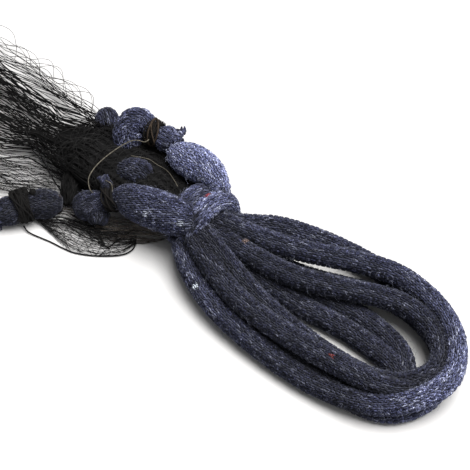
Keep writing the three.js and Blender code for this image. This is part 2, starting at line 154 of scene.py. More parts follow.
# The knit: a wale is a column of stitches along the cord, a course one round of them
LOOP_WALES = 15
TURN_TWIST = 0.02
COURSE = 1.3
COURSE_STRAY = 0.06
WALE_STRAY = 0.03
HEIGHT_STRAY = 0.05
SWAY = 0.12
SWAY_LENGTH = 17.0
KNIT_STEP = 0.4
LEG_RINGS = 4
LEG_SIDES = 3
LEG_FOOT = 0.04
LEG_HEAD = 0.44
LEG_CURVE = 0.8
LEG_START = -0.25
LEG_END = 1.12
LEG_WIDTH_SHARE = 0.24
LEG_TIP_SHARE = 0.6
LEG_HEIGHT = 0.38
LEG_HEIGHT_SHARE = 1.1
LEG_DIP = 0.40
CORE_DEPTH = 0.75
CORE_LEAST_RADIUS = 0.3
CORE_SIDES = 14
CORE_STEP = 3
BURIED_DEPTH = 0.7
LUMP_WALES = 13
LUMP_SHADES = (0.9, 0.9)

# The knit of each cord end: wales, and twist in radians a millimetre
END_KNIT = {
    "upper_end": (25, 0.05),
    "lower_end": (26, -0.06),
    "inner_end": (20, 0.05),
    "top_knot": (22, 0.06),
    "side_knob": (17, 0.0),
    "left_end": (20, -0.05),
}

# How light each cord is at even places along it: partly its own tone, partly painted light and shade, with
# painted highlights on the upper end, the front turn and the outer loops' tip, and painted shade on the
# inner loops, the back turn and the lower end's far part; and the painted shade in the grooves between cords
CORD_TONE_AND_PAINTED_LIGHT = {
    "outer_upper": (1.1, 1.1, 1.3, 2.4, 7.2, 0.75, 0.8, 1.7, 1.6),
    "outer_lower": (1.05, 1.05, 1.15, 2.0, 5.2, 0.6, 0.5, 1.25, 1.25),
    "inner_upper": (0.75, 0.75, 0.65),
    "inner_hairpin": (0.7, 0.75, 0.7),
    "middle": (0.75, 0.8, 0.65),
    "upper_end": (12.0, 16.5),
    "lower_end": (3.3, 1.45, 0.46),
    "inner_end": (0.75, 0.75),
    "top_knot": (2.7, 2.9),
    "side_knob": (1.1, 1.0),
    "left_end": (0.36, 0.42),
}
# The turns round the neck, partly their own tone: painted light on the front turn, painted shade on the back
# one
TURN_TONE_AND_PAINTED_LIGHT = [(7.0, 7.0), (3.3, 3.3)]
EVEN_SHADES = (1.0, 1.0)
LIGHTEST_YARN = np.array([0.19, 0.205, 0.285])
# Painted shade in the grooves: yarn darkens where another cord lies closer than the reach
GROOVE_BOTTOM = -0.3
GROOVE_REACH = 1.8
GROOVE_PAINTED_SHADE = 0.35

# Loose fibres on the cord: how far each half rises and sweeps is a share of its length
HAIRS_PER_MM = 9
HAIR_RADIUS = 0.03
HAIR_SIDES = 3
HAIR_TAPER = np.array([1.0, 0.8, 0.3])
HAIR_LENGTH = 1.0
HAIR_LENGTH_SPREAD = 0.45
HAIR_ROOT_DEPTH = 0.15
HAIR_FIRST_RISE = 0.45
HAIR_LAST_RISE = 0.2
HAIR_SWEEP = 0.8
HAIR_BEND = 0.35
HAIR_LEAST_Z = 0.3
HAIR_LIGHTNESS = (0.5, 1.9)

# Cut yarn ends: their radius and how it falls off to the tip
TUFT_YARN = 0.5
TUFT_TAPER = (0.9, 1.0, 1.0, 1.0, 0.95, 0.8, 0.45)
TUFT_LEAN = 0.1
TUFT_MIDDLE_SHARE = 0.05
TUFT_ROOT_SHARE = 0.85
TUFT_LENGTHS = (0.6, 1.1)
TUFT_BEND = 0.65
TUFT_FLARE = 0.35
TUFT_FLARE_CURVE = 1.3
TUFT_CURL = 0.7
TUFT_CURL_ANGLES = (3, 6)

# Where the tufts are: base, direction, spread, length, count of yarns and how light
TUFTS = {
    "lower_end": ((-27.2, -6.3, 12.6), (-0.5, 0.15, 0.85), 1.3, 1.1, 12, 1.2),
    "top_knot": ((-21.3, 13.9, 15.6), (0.93, 0.36, 0.0), 3.3, 1.7, 44, 1.4),
    "left_end": ((-45.2, -26.6, 4.1), (-0.55, -0.83, 0.05), 3.5, 1.6, 48, 0.9),
}

# Directions that the sections of yarn and threads are turned to, where nothing else says
TUFT_FACING = np.array([0.21, 0.34, 0.92])
THREAD_FACING = np.array([0.13, 0.21, 0.97])
NET_FACING = np.array([0.08, 0.13, 0.99])

# Yarn colours, linear: each stitch takes one of the heather shades, a few take a fleck
HEATHER = np.array(
    [
        (0.0036, 0.0040, 0.0088),
        (0.0066, 0.0074, 0.0160),
        (0.0130, 0.0142, 0.0280),
        (0.0245, 0.0264, 0.0440),
        (0.0490, 0.0520, 0.0735),
    ]
)
STITCH_LIGHTNESS = (0.8, 1.2)
HEATHER_SHARES = (0.22, 0.30, 0.27, 0.15, 0.06)
FLECKS = np.array([(0.03, 0.008, 0.008), (0.04, 0.025, 0.018), (0.14, 0.145, 0.165)])
FLECK_SHARE = 0.001
HAIR_COLOUR = (0.06, 0.064, 0.085)
# The core under the stitches is near black: painted shade for the gaps between them
CORE_PAINTED_SHADE = (0.004, 0.0045, 0.008)

# Flecks that show in the photograph: where, how far they reach and their colour
FLECK_SPOTS = {
    "red on the hank": ((51.2, -9.6, 10.5), 0.6, (0.055, 0.010, 0.009)),
    "dark red on the turn": ((-1.2, 3.7, 18.2), 0.9, (0.055, 0.007, 0.010)),
    "pale on the near loop": ((10.7, -14.0, 7.6), 0.6, (0.20, 0.22, 0.25)),
    "brown by the neck": ((12.5, 2.9, 11.5), 0.7, (0.035, 0.024, 0.021)),
    "pale on the lower end": ((-10.6, -8.9, 14.6), 0.9, (0.14, 0.15, 0.185)),
    "pale by the neck": ((-1.3, -5.6, 15.0), 0.9, (0.13, 0.14, 0.17)),
}
SPOT_DEPTH = 3.0

# Lashings: centre, direction of the cord they bind, waist, width and how brown the top layer is
LASHINGS = {
    "lashing_upper": ((-26.9, 12.6, 15.8), (0.98, 0.18, 0.0), 2.5, 3.4, 1.0),
    "lashing_lower": ((-23.8, -7.0, 9.2), (-0.78, -0.47, -0.42), 2.5, 3.2, 0.1),
    "lashing_left": ((-42.6, -22.0, 4.9), (-0.5, -0.86, 0.0), 3.4, 4.2, 0.0),
}
LASHING_LAYERS = [
    {"turns": 9, "reach": 0.40, "stray": 0.35, "brown": 0.0},
    {"turns": 7, "reach": 0.70, "stray": 1.00, "brown": 0.1},
    {"turns": 3, "reach": 1.00, "stray": 1.40, "brown": 1.0},
]
LASHING_BLACK = (0.0024, 0.0022, 0.0023)
LASHING_BROWN = (0.020, 0.014, 0.010)
LASHING_KNOTS = [(-43.6, -19.8, 8.6), (-41.7, -18.6, 8.0), (-42.4, -20.4, 8.6), (-45.2, -22.4, 8.0)]
KNOT_RADIUS = 0.7
KNOT_TURNS = 9
BALL_STEPS = 18
BALL_TILT = 0.37
BALL_ROUGHNESS = 0.05
BALL_ROUGHNESS_RATE = 2.3
LEFT_TANGLE_TURNS = 16
LEFT_TANGLE_RADIUS = 4.5
LEFT_TANGLE_SQUASH = 0.5
LASHING_THREAD_RADIUS = 0.24
LASHING_STEPS = 26
THREAD_SIDES = 5
THREAD_POINTS = 48
WINDING_LEAN = 0.05
WINDING_DRIFT = 3
WINDING_TILT = 0.6
WINDING_TILT_RATE = 0.23
WINDING_SWING = 2
WINDING_SWING_RATE = 0.31
WINDING_WAVE = 0.12
WINDING_WAVE_RATE = 0.37
WINDING_LIFT = 0.14
WINDING_LIFT_RATE = 0.61
LASHING_FUZZ_LIFT = 0.9
LASHING_FUZZ_PER_MM = 90
LASHING_FUZZ_COLOUR = (0.006, 0.005, 0.0045)
THREAD_OLIVE = (0.08, 0.073, 0.058)

# Loose turns of the lashing thread
THREAD_LOOPS = {
    "upper to lower": [
        (-25.4, 8.7, 17.4), (-25.8, 7.7, 17.0), (-27.2, 6.5, 17.6), (-28.7, 5.4, 17.2),
        (-30.8, 0.5, 15.6), (-31.4, -5.4, 14.2), (-30.9, -8.5, 12.6), (-29.4, -9.6, 10.4),
        (-28.3, -8.7, 8.4),
    ],
    "under the upper end": [
        (-27.2, 3.6, 14.2), (-22.9, 5.9, 13.9), (-20.6, 5.9, 13.9), (-16.9, 6.0, 14.0),
        (-12.4, 4.0, 15.2), (-9.4, 2.1, 16.6),
    ],
    "over the lower lashing": [
        (-28.3, -6.5, 12.4), (-26.1, -6.5, 13.6), (-24.8, -6.3, 13.2), (-23.3, -7.8, 12.2),
        (-23.7, -8.5, 10.8), (-25.1, -8.4, 9.0),
    ],
}
THREAD_RADII = {"upper to lower": 0.14, "under the upper end": 0.08, "over the lower lashing": 0.11}

# The dense gathered root of the net: x, y, z, half width and half height
NET_ROOT = [
    (-66, 3.0, 3.4, 7.0, 2.0),
    (-54, 2.0, 4.8, 7.6, 4.0),
    (-42, 3.4, 6.2, 10.2, 5.8),
    (-30, 3.2, 7.0, 10.6, 6.2),
    (-18, 3.8, 7.6, 10.0, 6.2),
    (-5, 2.6, 8.2, 7.0, 4.8),
]
ROOT_RINGS = 40
ROOT_SIDES = 90
ROOT_FOLDS = 23
ROOT_FOLD_DEPTH = 0.06
ROOT_FOLD_TWIST = 0.05
ROOT_CORE_SHARE = 0.96
ROOT_CORE_START_X = -5
ROOT_CORE_END_X = -53.0
ROOT_CORE_END_SHARE = 0.3
ROOT_OPENS_X = -38.0
ROOT_OPEN_X = -55.0
ROOT_EDGE = 0.98
ROOT_UPPER_SHARE = 0.75
ROOT_WAVE = 0.15
ROOT_WAVE_LENGTH = 2.3
ROOT_WAVE_SLANT = 40
ROOT_RIM_WAVE = 0.06
ROOT_RIM_RATE = 70
ROOT_THREADS = 420
ROOT_POINTS = 14
ROOT_SPAN = (-48, -8)
ROOT_LENGTHS = (4, 13)
ROOT_SLANT = 0.8
ROOT_BEND = 0.5
ROOT_BEND_RATES = (3, 1)
ROOT_TURNS = (0.05, 0.95)
ROOT_REACH = 8
ROOT_LIFT = 0.05
ROOT_GREY = (0.017, 0.0168, 0.017)

# A fold of the net that drops from the root to the floor: x, y, z and radius
NET_DROP = [
    (-41.2, -2.0, 5.0, 3.0), (-39.2, -6.4, 3.6, 3.0), (-36.8, -9.8, 2.8, 2.6), (-35.0, -11.6, 1.8, 1.7),
]

# A bunch of the net between the root and the upper cord ends: x, y, z and radius
NET_SHOULDER = [
    (-33.0, 9.6, 9.6, 1.4), (-28.0, 11.8, 10.6, 2.3), (-22.0, 11.6, 11.0, 2.3), (-15.0, 9.6, 10.4, 1.4),
]
FOLD_THREADS = 150
FOLD_CORE_SHARE = 0.7
FOLD_SIDES = 24
FOLD_POINTS = 20
FOLD_TURN = 1.0
FOLD_REACH = (0.75, 1.05)
FOLD_WAVE = 0.08
FOLD_WAVE_RATES = (9, 30)

# Sheets of drawn net thread: x, near y, far y, low z and high z of each section
NET_DENSE = [
    (-43, -5.8, 11.0, 2.0, 9.0),
    (-50, -5.2, 8.8, 1.6, 8.0),
    (-57, -5.0, 7.4, 1.3, 7.0),
    (-63, -9.4, 9.8, 0.9, 6.2),
    (-83, -13.0, 9.6, 0.6, 4.6),
    (-116, -16.0, 14.0, 0.5, 3.4),
]
NET_LINES = [
    (-43, 8.4, 11.0, 8.0, 11.0),
    (-52, 11.4, 13.8, 5.0, 8.0),
    (-60, 11.8, 16.0, 2.4, 5.4),
    (-76, 10.6, 17.8, 1.0, 4.6),
    (-90, 9.4, 17.4, 0.6, 4.0),
    (-116, 14.0, 26.0, 0.5, 3.0),
]
NET_VEIL = [
    (-41, -12.6, -5.2, 1.0, 3.6),
    (-48, -17.0, -4.6, 0.5, 3.0),
    (-54.5, -20.6, -4.4, 0.3, 2.4),
    (-63, -22.4, -9.8, 0.3, 1.8),
    (-116, -22.4, -14.0, 0.3, 1.2),
]

# Drawn meshes: layers, threads in each, length and width of slits, first and last x, drift of the threads
DENSE_MESH = (6, 23, 16.0, 1.0, -34.0, -116.0, 0.03)
LINE_MESH = (3, 8, 24.0, 1.2, -40.0, -116.0, 0.06)
VEIL_MESH = (2, 8, 14.0, 1.8, -40.0, -116.0, 0.1)
VEIL_CROSSING = (1, 24, 19.0, 2.0, -44.0, -90.0, 0.6)
# The haze: very fine veil threads, many enough to stand in for the soft shadow on the floor there, so partly
# net and partly painted shade
VEIL_SHADE_HAZE = (1, 90, 23.0, 2.0, -42.0, -104.0, 0.3)
FRINGE_ARCS = 14
ARC_STARTS = (-49, -84)
ARC_STRAY = 1.5
ARC_LENGTHS = (10, 20)
ARC_BOWS = (0.2, 0.38)
ARC_SKEWS = (0.8, 1.3)
ARC_INSET = 1.0
ARC_HEIGHTS = (0.5, 0.9)
NET_SIDES = 3
NET_POINTS = 90
SHADE_HAZE_STEP = 2
START_STRAY = (-3, 3)
END_STRAY = (0, 9)
PLACE_LIMITS = (-0.05, 1.05)
SHEET_WAVE = 0.55
SHEET_WAVE_LENGTH = 33.0
SHEET_WAVE_SLANT = 5
SLIT_SHIFT = 1.4
SLIT_SHIFT_LENGTH = 13
SLIT_SHIFT_SLANT = 8
THREAD_WAVE = 0.2
THREAD_WAVE_LENGTHS = (14, 36)
NET_BLACK = (0.0035, 0.0035, 0.0038)
NET_GREY = (0.012, 0.0118, 0.012)
NET_BROWN = (0.045, 0.038, 0.032)

# Radii of the net's threads: the fan, its far edge, the root and flap, the veil and fringe, and the haze
# that is partly painted shade
NET_RADIUS = 0.12
LINE_RADIUS = 0.1
FINE_RADIUS = 0.07
VEIL_RADIUS = 0.08
SHADE_HAZE_RADIUS = 0.04

# Thicker lines of the net's border
NET_BORDERS = {
    "across the veil": [
        (-60.5, -3.3, 7.0), (-57.3, -4.6, 6.0), (-52.7, -5.8, 5.0), (-48.6, -7.3, 4.0),
        (-43.8, -9.2, 3.0), (-40.0, -10.4, 2.4), (-37.5, -12.3, 1.8), (-36.1, -14.4, 1.0),
        (-36.6, -15.6, 0.6),
    ],
    "over the veil": [
        (-66.0, -17.4, 1.2), (-62.8, -15.1, 2.4), (-60.4, -13.0, 3.0), (-57.8, -10.2, 3.0),
        (-54.9, -8.0, 3.2), (-52.3, -7.6, 3.2), (-48.6, -7.4, 3.2), (-43.0, -6.4, 3.6),
        (-41.5, -6.1, 4.0),
    ],
    "top of the fan": [
        (-96.0, 15.0, 2.4), (-86.9, 12.7, 3.0), (-78.6, 11.2, 3.6), (-67.0, 9.7, 4.6),
        (-60.0, 8.9, 5.6), (-51.0, 9.7, 8.0), (-44.0, 9.4, 9.6),
    ],
    "along the fan": [
        (-92.0, 12.0, 2.4), (-84.6, 10.4, 3.0), (-76.1, 9.2, 3.6), (-68.1, 9.2, 4.2), (-61.4, 9.2, 5.2),
        (-52.4, 9.9, 7.6), (-45.0, 8.6, 9.4),
    ],
    "inside the fan": [
        (-90.0, 9.8, 2.4), (-82.3, 8.2, 3.0), (-75.0, 6.6, 3.6), (-67.3, 5.3, 4.6), (-61.6, 5.5, 5.6),
        (-54.5, 5.9, 7.0), (-47.0, 6.4, 9.4),
    ],
}
FLAP_BORDERS = {
    "low edge of the flap": [
        (-40.0, -24.4, 1.0), (-38.4, -24.8, 0.6), (-37.1, -24.7, 0.5), (-31.2, -23.3, 0.4),
        (-27.3, -22.7, 0.4), (-23.9, -21.8, 0.4), (-18.3, -18.3, 0.4), (-13.9, -13.7, 0.5),
        (-13.4, -11.2, 0.6), (-14.0, -9.4, 0.9),
    ],
    "top edge of the flap": [
        (-38.6, -20.5, 1.4), (-35.5, -17.3, 1.8), (-32.7, -15.4, 1.6), (-29.4, -14.3, 1.4),
        (-25.3, -13.7, 1.2), (-22.3, -14.2, 0.8), (-19.8, -15.3, 0.5),
    ],
    "across the flap": [
        (-35.0, -17.4, 1.7), (-32.2, -17.0, 1.4), (-26.5, -16.7, 1.0), (-20.6, -15.3, 0.7),
        (-17.9, -15.1, 0.6),
    ],
    "down the flap": [
        (-33.0, -15.8, 1.6), (-29.9, -15.2, 1.4), (-25.1, -15.1, 1.0), (-18.9, -15.1, 0.6),
    ],
    "under the lower end": [
        (-29.8, -13.1, 1.6), (-26.2, -12.7, 1.2), (-22.7, -13.8, 0.9), (-18.9, -15.1, 0.6),
        (-18.3, -11.6, 0.8), (-17.4, -6.9, 1.2),
    ],
}
BORDER_RADIUS = 0.2

# The flap of net on the floor: near edge and far edge, from left to right
FLAP_NEAR = [
    (-37.5, -20.7, 0.8), (-31.7, -21.5, 0.4), (-27.0, -22.2, 0.3), (-23.4, -21.3, 0.3),
    (-18.4, -18.3, 0.3), (-14.4, -13.6, 0.4), (-14.0, -9.5, 0.6),
]
FLAP_FAR = [
    (-41.0, -21.6, 2.2), (-37.8, -20.2, 1.6), (-33.9, -16.4, 1.6), (-27.7, -14.2, 1.4),
    (-21.2, -11.5, 1.6), (-15.0, -8.0, 1.8),
]
EDGE_POINTS = 200
FLAP_POINTS = 60
FLAP_LINES = 34
FLAP_LINE_SPAN = (0.02, 0.98)
FLAP_SLIT = 0.022
FLAP_SLIT_RATES = (40, 3)
FLAP_SHIFT_RATES = (6, 9)
FLAP_WAVE = 0.03
FLAP_WAVE_RATES = (7, 4)
FLAP_STRAY = 0.05
FLAP_CORNER = 0.2
FLAP_CROSSINGS = 16
CROSSING_LEANS = (0.2, -0.2)
CROSSING_SPAN = (-0.1, 1.05)
CROSSING_STRAY = 0.02
CROSSING_WAVE = 0.012
CROSSING_WAVE_RATES = (9, 1)
CROSSING_PHASES = (0, 6)
FLAP_TOP_THREADS = 20
FLAP_TOP_PLACES = (0.8, 1.05)
FLAP_TOP_ENDS = (0.5, 0.95)
FLAP_LIFTS = (-0.1, 0.5)

# The net behind the flap, up to the fold that drops from the root
BEHIND_FLAP = [
    (-39.5, -17.0, 2.4), (-36.6, -12.4, 2.2), (-30.0, -11.0, 2.4), (-24.0, -9.6, 2.2),
    (-17.0, -7.0, 2.2),
]
BEHIND_THREADS = 44
BEHIND_STARTS = (0, 0.5)
BEHIND_LENGTHS = (0.25, 0.6)
BEHIND_SLANT = 0.4

# The net drawn from the neck to the flap, under the lower cord end: low edge and high edge
UNDER_LOW = [
    (-7.0, -1.6, 2.6), (-8.7, -4.2, 1.2), (-12.0, -7.4, 0.7), (-15.0, -9.8, 0.7), (-20.0, -13.0, 0.6),
    (-26.0, -16.0, 0.6),
]
UNDER_HIGH = [
    (-5.0, -1.6, 6.0), (-10.0, -4.4, 6.4), (-16.0, -6.4, 6.0), (-22.0, -9.0, 4.6), (-27.0, -12.0, 3.0),
    (-30.0, -14.0, 2.0),
]
SHORT_POINTS = 30
UNDER_THREADS = 56
UNDER_SLANT = 0.3
UNDER_WAVE = 0.05
UNDER_WAVE_RATES = (5, 20)
UNDER_STARTS = (0, 0.25)
UNDER_ENDS = (0.5, 1)
UNDER_BROWN = (0.075, 0.064, 0.055)

rng = np.random.default_rng(5293)


def unit(vectors):
    """The same directions with length one."""
    lengths = np.linalg.norm(vectors, axis=-1, keepdims=True)
    return vectors / np.maximum(lengths, LEAST_LENGTH)


def even_angles(count):
    """That many angles, evenly round a circle."""
    return 2 * np.pi * np.arange(count) / count


def turned(angle, side, other):
    """The direction at an angle from one side direction towards the other."""
    return np.cos(angle)[..., None] * side + np.sin(angle)[..., None] * other


def smooth_share(values, start, end):
    """0 before start, 1 after end, with an easy run between."""
    share = np.clip((values - start) / (end - start), 0, 1)
    return share * share * (3 - 2 * share)


def smooth_route(points, closed=False):
    """A centripetal Catmull-Rom curve through the points. Columns past the third are carried along."""
    points = np.asarray(points, float)
    if closed:
        padded = np.vstack([points[-1:], points, points[:2]])
    else:
        padded = np.vstack([2 * points[:1] - points[1:2], points, 2 * points[-1:] - points[-2:-1]])
    steps = np.diff(padded, axis=0)
    gaps = np.linalg.norm(steps[:, :3], axis=1, keepdims=True) ** 0.5
    chords = (padded[2:] - padded[:-2]) / (gaps[:-1] + gaps[1:])
    slopes = steps[:-1] / gaps[:-1] - chords + steps[1:] / gaps[1:]
    share = np.linspace(0, 1, ROUTE_STEPS, endpoint=False)[:, None]
    spans = [
        (2 * share**3 - 3 * share**2 + 1) * here
        + (share**3 - 2 * share**2 + share) * leaving * gap
        + (3 * share**2 - 2 * share**3) * ahead
        + (share**3 - share**2) * arriving * gap
        for here, ahead, leaving, arriving, gap in zip(padded[1:], padded[2:], slopes, slopes[1:], gaps[1:])
    ]
    spans.append(points[:1] if closed else points[-1:])
    return np.vstack(spans)


def route_lengths(route):
    """Length from the start to each point of a route."""
    steps = np.linalg.norm(np.diff(route[:, :3], axis=0), axis=1)
    return np.concatenate([[0.0], np.cumsum(steps)])


def even_route(route, count):
    """The route with that many points, evenly apart."""
    lengths = route_lengths(route)
    places = np.linspace(0, lengths[-1], count)
    return np.column_stack([np.interp(places, lengths, column) for column in route.T])


def carried_sides(along):
    """Side directions carried along a run without twist."""
    side = unit(np.cross(UP, along[0]))
    sides = []
    for direction in along:
        side = unit(side - direction * np.dot(side, direction))
        sides.append(side)
    return np.array(sides)


def ring_quads(index):
    """Four-sided faces between neighbouring rings of point numbers."""
    here = index[..., :-1, :]
    ahead = index[..., 1:, :]
    turned_here = np.roll(here, -1, axis=-1)
    turned_ahead = np.roll(ahead, -1, axis=-1)
    return np.stack([here, ahead, turned_ahead, turned_here], axis=-1).reshape(-1, 4)


class Fibres:
    """Gathers tubes as arrays, each with its colour, until one mesh is made of them."""

    def __init__(self):
        self.points = []
        self.colours = []
        self.faces = []
        self.count = 0

    def add_tubes(self, centres, half_width, half_height, facing, colours, sides):
        """Many like tubes: centres is (tubes, rings, 3), halves and facing fit it, colours is (tubes, 3)."""
        tubes, rings = centres.shape[:2]
        along = unit(np.gradient(centres, axis=1))
        across = unit(np.cross(along, np.broadcast_to(facing, centres.shape)))
        outward = np.cross(across, along)
        angle = (np.pi / 2 + even_angles(sides))[None, None, :, None]
        half_width = np.broadcast_to(half_width, (tubes, rings))[:, :, None, None]
        half_height = np.broadcast_to(half_height, (tubes, rings))[:, :, None, None]
        ring_points = (
            centres[:, :, None]
            + across[:, :, None] * np.cos(angle) * half_width
            + outward[:, :, None] * np.sin(angle) * half_height
        )
        index = self.count + np.arange(tubes * rings * sides).reshape(tubes, rings, sides)
        self.faces.append(ring_quads(index))
        self.faces.append(np.concatenate([index[:, 0], index[:, -1, ::-1]]))
        self.points.append(ring_points.reshape(-1, 3))
        self.colours.append(np.repeat(np.asarray(colours, float), rings * sides, axis=0))
        self.count += tubes * rings * sides

    def add_round(self, paths, radius, facing, colours, sides):
        """Many like tubes as thick as they are wide."""
        self.add_tubes(paths, radius, radius, facing, colours, sides)

    def add_skin(self, rings_of_points, colour):
        """One closed-up run of rings: (rings, sides, 3), with a fan to the middle of each end."""
        rings, sides = rings_of_points.shape[:2]
        index = self.count + np.arange(rings * sides).reshape(rings, sides)
        self.faces.append(ring_quads(index))
        middles = self.count + rings * sides + np.arange(2)
        first = np.stack([np.full(sides, middles[0]), index[0], np.roll(index[0], -1)], axis=-1)
        last = np.stack([np.full(sides, middles[1]), np.roll(index[-1], -1), index[-1]], axis=-1)
        self.faces += [first, last]
        ends = np.stack([rings_of_points[0].mean(0), rings_of_points[-1].mean(0)])
        self.points.append(np.concatenate([rings_of_points.reshape(-1, 3), ends]))
        self.colours.append(np.tile(np.asarray(colour, float), (rings * sides + 2, 1)))
        self.count += rings * sides + 2

    def make(self, name, surface, slot, nodes):
        """One piece that rides on the part and stands for those CAD nodes."""
        points = np.concatenate(self.points)
        points[:, 2] = np.maximum(points[:, 2], FLOOR_CLEARANCE)
        faces = [face for group in self.faces for face in group.tolist()]
        mesh = bpy.data.meshes.new(name)
        mesh.from_pydata(points * MM, [], faces, shade_flat=False)
        mesh.validate()
        colours = np.concatenate(self.colours)
        rgba = np.column_stack([colours, np.ones(len(colours))]).astype(np.float32)
        attribute = mesh.color_attributes.new("yarn", "FLOAT_COLOR", "POINT")
        attribute.data.foreach_set("color", rgba.ravel())
        mesh.materials.append(surface)
        piece = bpy.data.objects.new(name, mesh)
        bpy.context.scene.collection.objects.link(piece)
        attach(piece, BODY)
        if nodes:
            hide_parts(*nodes)


class Tube:
    """A cord's run: evenly spaced centres and radii, with the directions round it."""

    def __init__(self, route, closed=False):
        smooth = smooth_route(route, closed)
        self.length = route_lengths(smooth)[-1]
        count = int(self.length / KNIT_STEP) + 2
        even = even_route(smooth, count)
        self.centres = even[:, :3]
        self.radii = even[:, 3]
        self.along = unit(np.gradient(self.centres, axis=0))
        self.side = carried_sides(self.along)
        self.upward = np.cross(self.along, self.side)
        self.step = self.length / (count - 1)

    def at(self, distance, angle):
        """Centre, outward direction and radius at distances along the cord and angles round it."""
        place = np.clip(distance / self.step, 0, len(self.centres) - 1 - END_MARGIN)
        low = place.astype(int)
        share = (place - low)[..., None]

        def between(values):
            return values[low] * (1 - share) + values[low + 1] * share

        outward = unit(turned(angle, between(self.side), between(self.upward)))
        return between(self.centres), outward, between(self.radii[:, None])[..., 0]

    def rings(self, radii, sides, every=1):
        """Rings of points round the run at those radii, one at every so many of its steps."""
        around = turned(even_angles(sides), self.side[::every, None], self.upward[::every, None])
        return (self.centres[::every, None] + around * radii[::every, None, None])[:, ::-1]


def clearance(points, others):
    """How far points lie outside the nearest other cord, less than nothing inside it."""
    least = np.full(len(points), np.inf)
    for other in others:
        for start in range(0, len(points), POINTS_AT_ONCE):
            part = slice(start, start + POINTS_AT_ONCE)
            gaps = np.linalg.norm(points[part, None] - other.centres[None, ::CLEARANCE_STEP], axis=2)
            least[part] = np.minimum(least[part], (gaps - other.radii[None, ::CLEARANCE_STEP]).min(axis=1))
    return least


def tone_and_painted_shade(tube, distance, shades, room):
    """How light the yarn is along a cord, partly its own tone and partly painted light and shade, with
    painted shade where another cord leaves it little room.
    """
    painted_groove_shade = np.interp(room, (GROOVE_BOTTOM, GROOVE_REACH), (GROOVE_PAINTED_SHADE, 1))
    return (np.interp(distance, np.linspace(0, tube.length, len(shades)), shades) * painted_groove_shade)[:, None]


def within_lightest(colours):
    """Colours drawn in below the lightest that yarn can have."""
    return colours / (1 + colours / LIGHTEST_YARN)


def each(low, high, count):
    """A column of even draws, one for each thread or stitch."""
    return rng.uniform(low, high, (count, 1))


def strays(spread, count):
    """A column of draws to either side of nothing, one for each thread or stitch."""
    return rng.normal(0, spread, (count, 1))


def heather_colours(count):
    """A heather shade for each stitch, with a fleck here and there."""
    shades = HEATHER[rng.choice(len(HEATHER), count, p=HEATHER_SHARES)]
    shades = shades * each(*STITCH_LIGHTNESS, count)
    flecked = rng.random(count) < FLECK_SHARE
    shades[flecked] = FLECKS[rng.integers(0, len(FLECKS), flecked.sum())]
    return shades


def add_spots(colours, places):
    """Colours the stitches that face the camera at the flecks seen in the photograph."""
    back = np.array(view_directions()[0])
    for spot, reach, colour in FLECK_SPOTS.values():
        offset = places - np.array(spot)
        depth = offset @ back
        aside = np.linalg.norm(offset - depth[:, None] * back, axis=1)
        colours[(aside < reach) & (np.abs(depth) < SPOT_DEPTH)] = colour


def knit(fibres, tube, wales, twist, others, shades):
    """Covers a cord with the two legs of each stitch, over a core whose dark colour is painted shade in the
    gaps.
    """
    courses = int(tube.length / COURSE)
    grids = np.meshgrid(np.arange(courses), np.arange(wales), (-1, 1))
    course, wale, hand = (grid.ravel() for grid in grids)
    share = np.linspace(0, 1, LEG_RINGS)[None]
    distance = (course[:, None] + LEG_START + (LEG_END - LEG_START) * share) * tube.length / courses
    distance = distance + strays(COURSE_STRAY, len(course))
    lean = LEG_FOOT + (LEG_HEAD - LEG_FOOT) * share**LEG_CURVE
    turn = (wale[:, None] + hand[:, None] * lean + strays(WALE_STRAY, len(course))) / wales
    sway = SWAY * np.sin(distance / SWAY_LENGTH + wales)
    angle = 2 * np.pi * turn + twist * distance + sway
    centre, outward, radius = tube.at(distance, angle)
    bulge = np.sin(np.pi * share)
    raised = strays(HEIGHT_STRAY, len(course))
    depth = LEG_HEIGHT + LEG_DIP * (1 - bulge) - raised
    legs = centre + outward * (radius - depth)[..., None]
    fullness = LEG_TIP_SHARE + (1 - LEG_TIP_SHARE) * bulge
    half_width = LEG_WIDTH_SHARE * 2 * np.pi * radius / wales * fullness
    half_height = np.minimum(LEG_HEIGHT, half_width * LEG_HEIGHT_SHARE)
    room = clearance(legs[:, 1], others)
    kept = room > -BURIED_DEPTH
    # The yarn's colour carries the cord's painted light and shade and the painted shade of the grooves
    shade = tone_and_painted_shade(tube, distance[:, 1], shades, room)
    colours = within_lightest(heather_colours(len(course)) * shade)
    add_spots(colours, legs[:, 1])
    legs_shown = (part[kept] for part in (legs, half_width, half_height, outward, colours))
    fibres.add_tubes(*legs_shown, LEG_SIDES)
    # The core's dark colour is painted shade, seen through the gaps between stitches
    core_radii = np.maximum(tube.radii - CORE_DEPTH, CORE_LEAST_RADIUS)
    fibres.add_skin(tube.rings(core_radii, CORE_SIDES, CORE_STEP), CORE_PAINTED_SHADE)


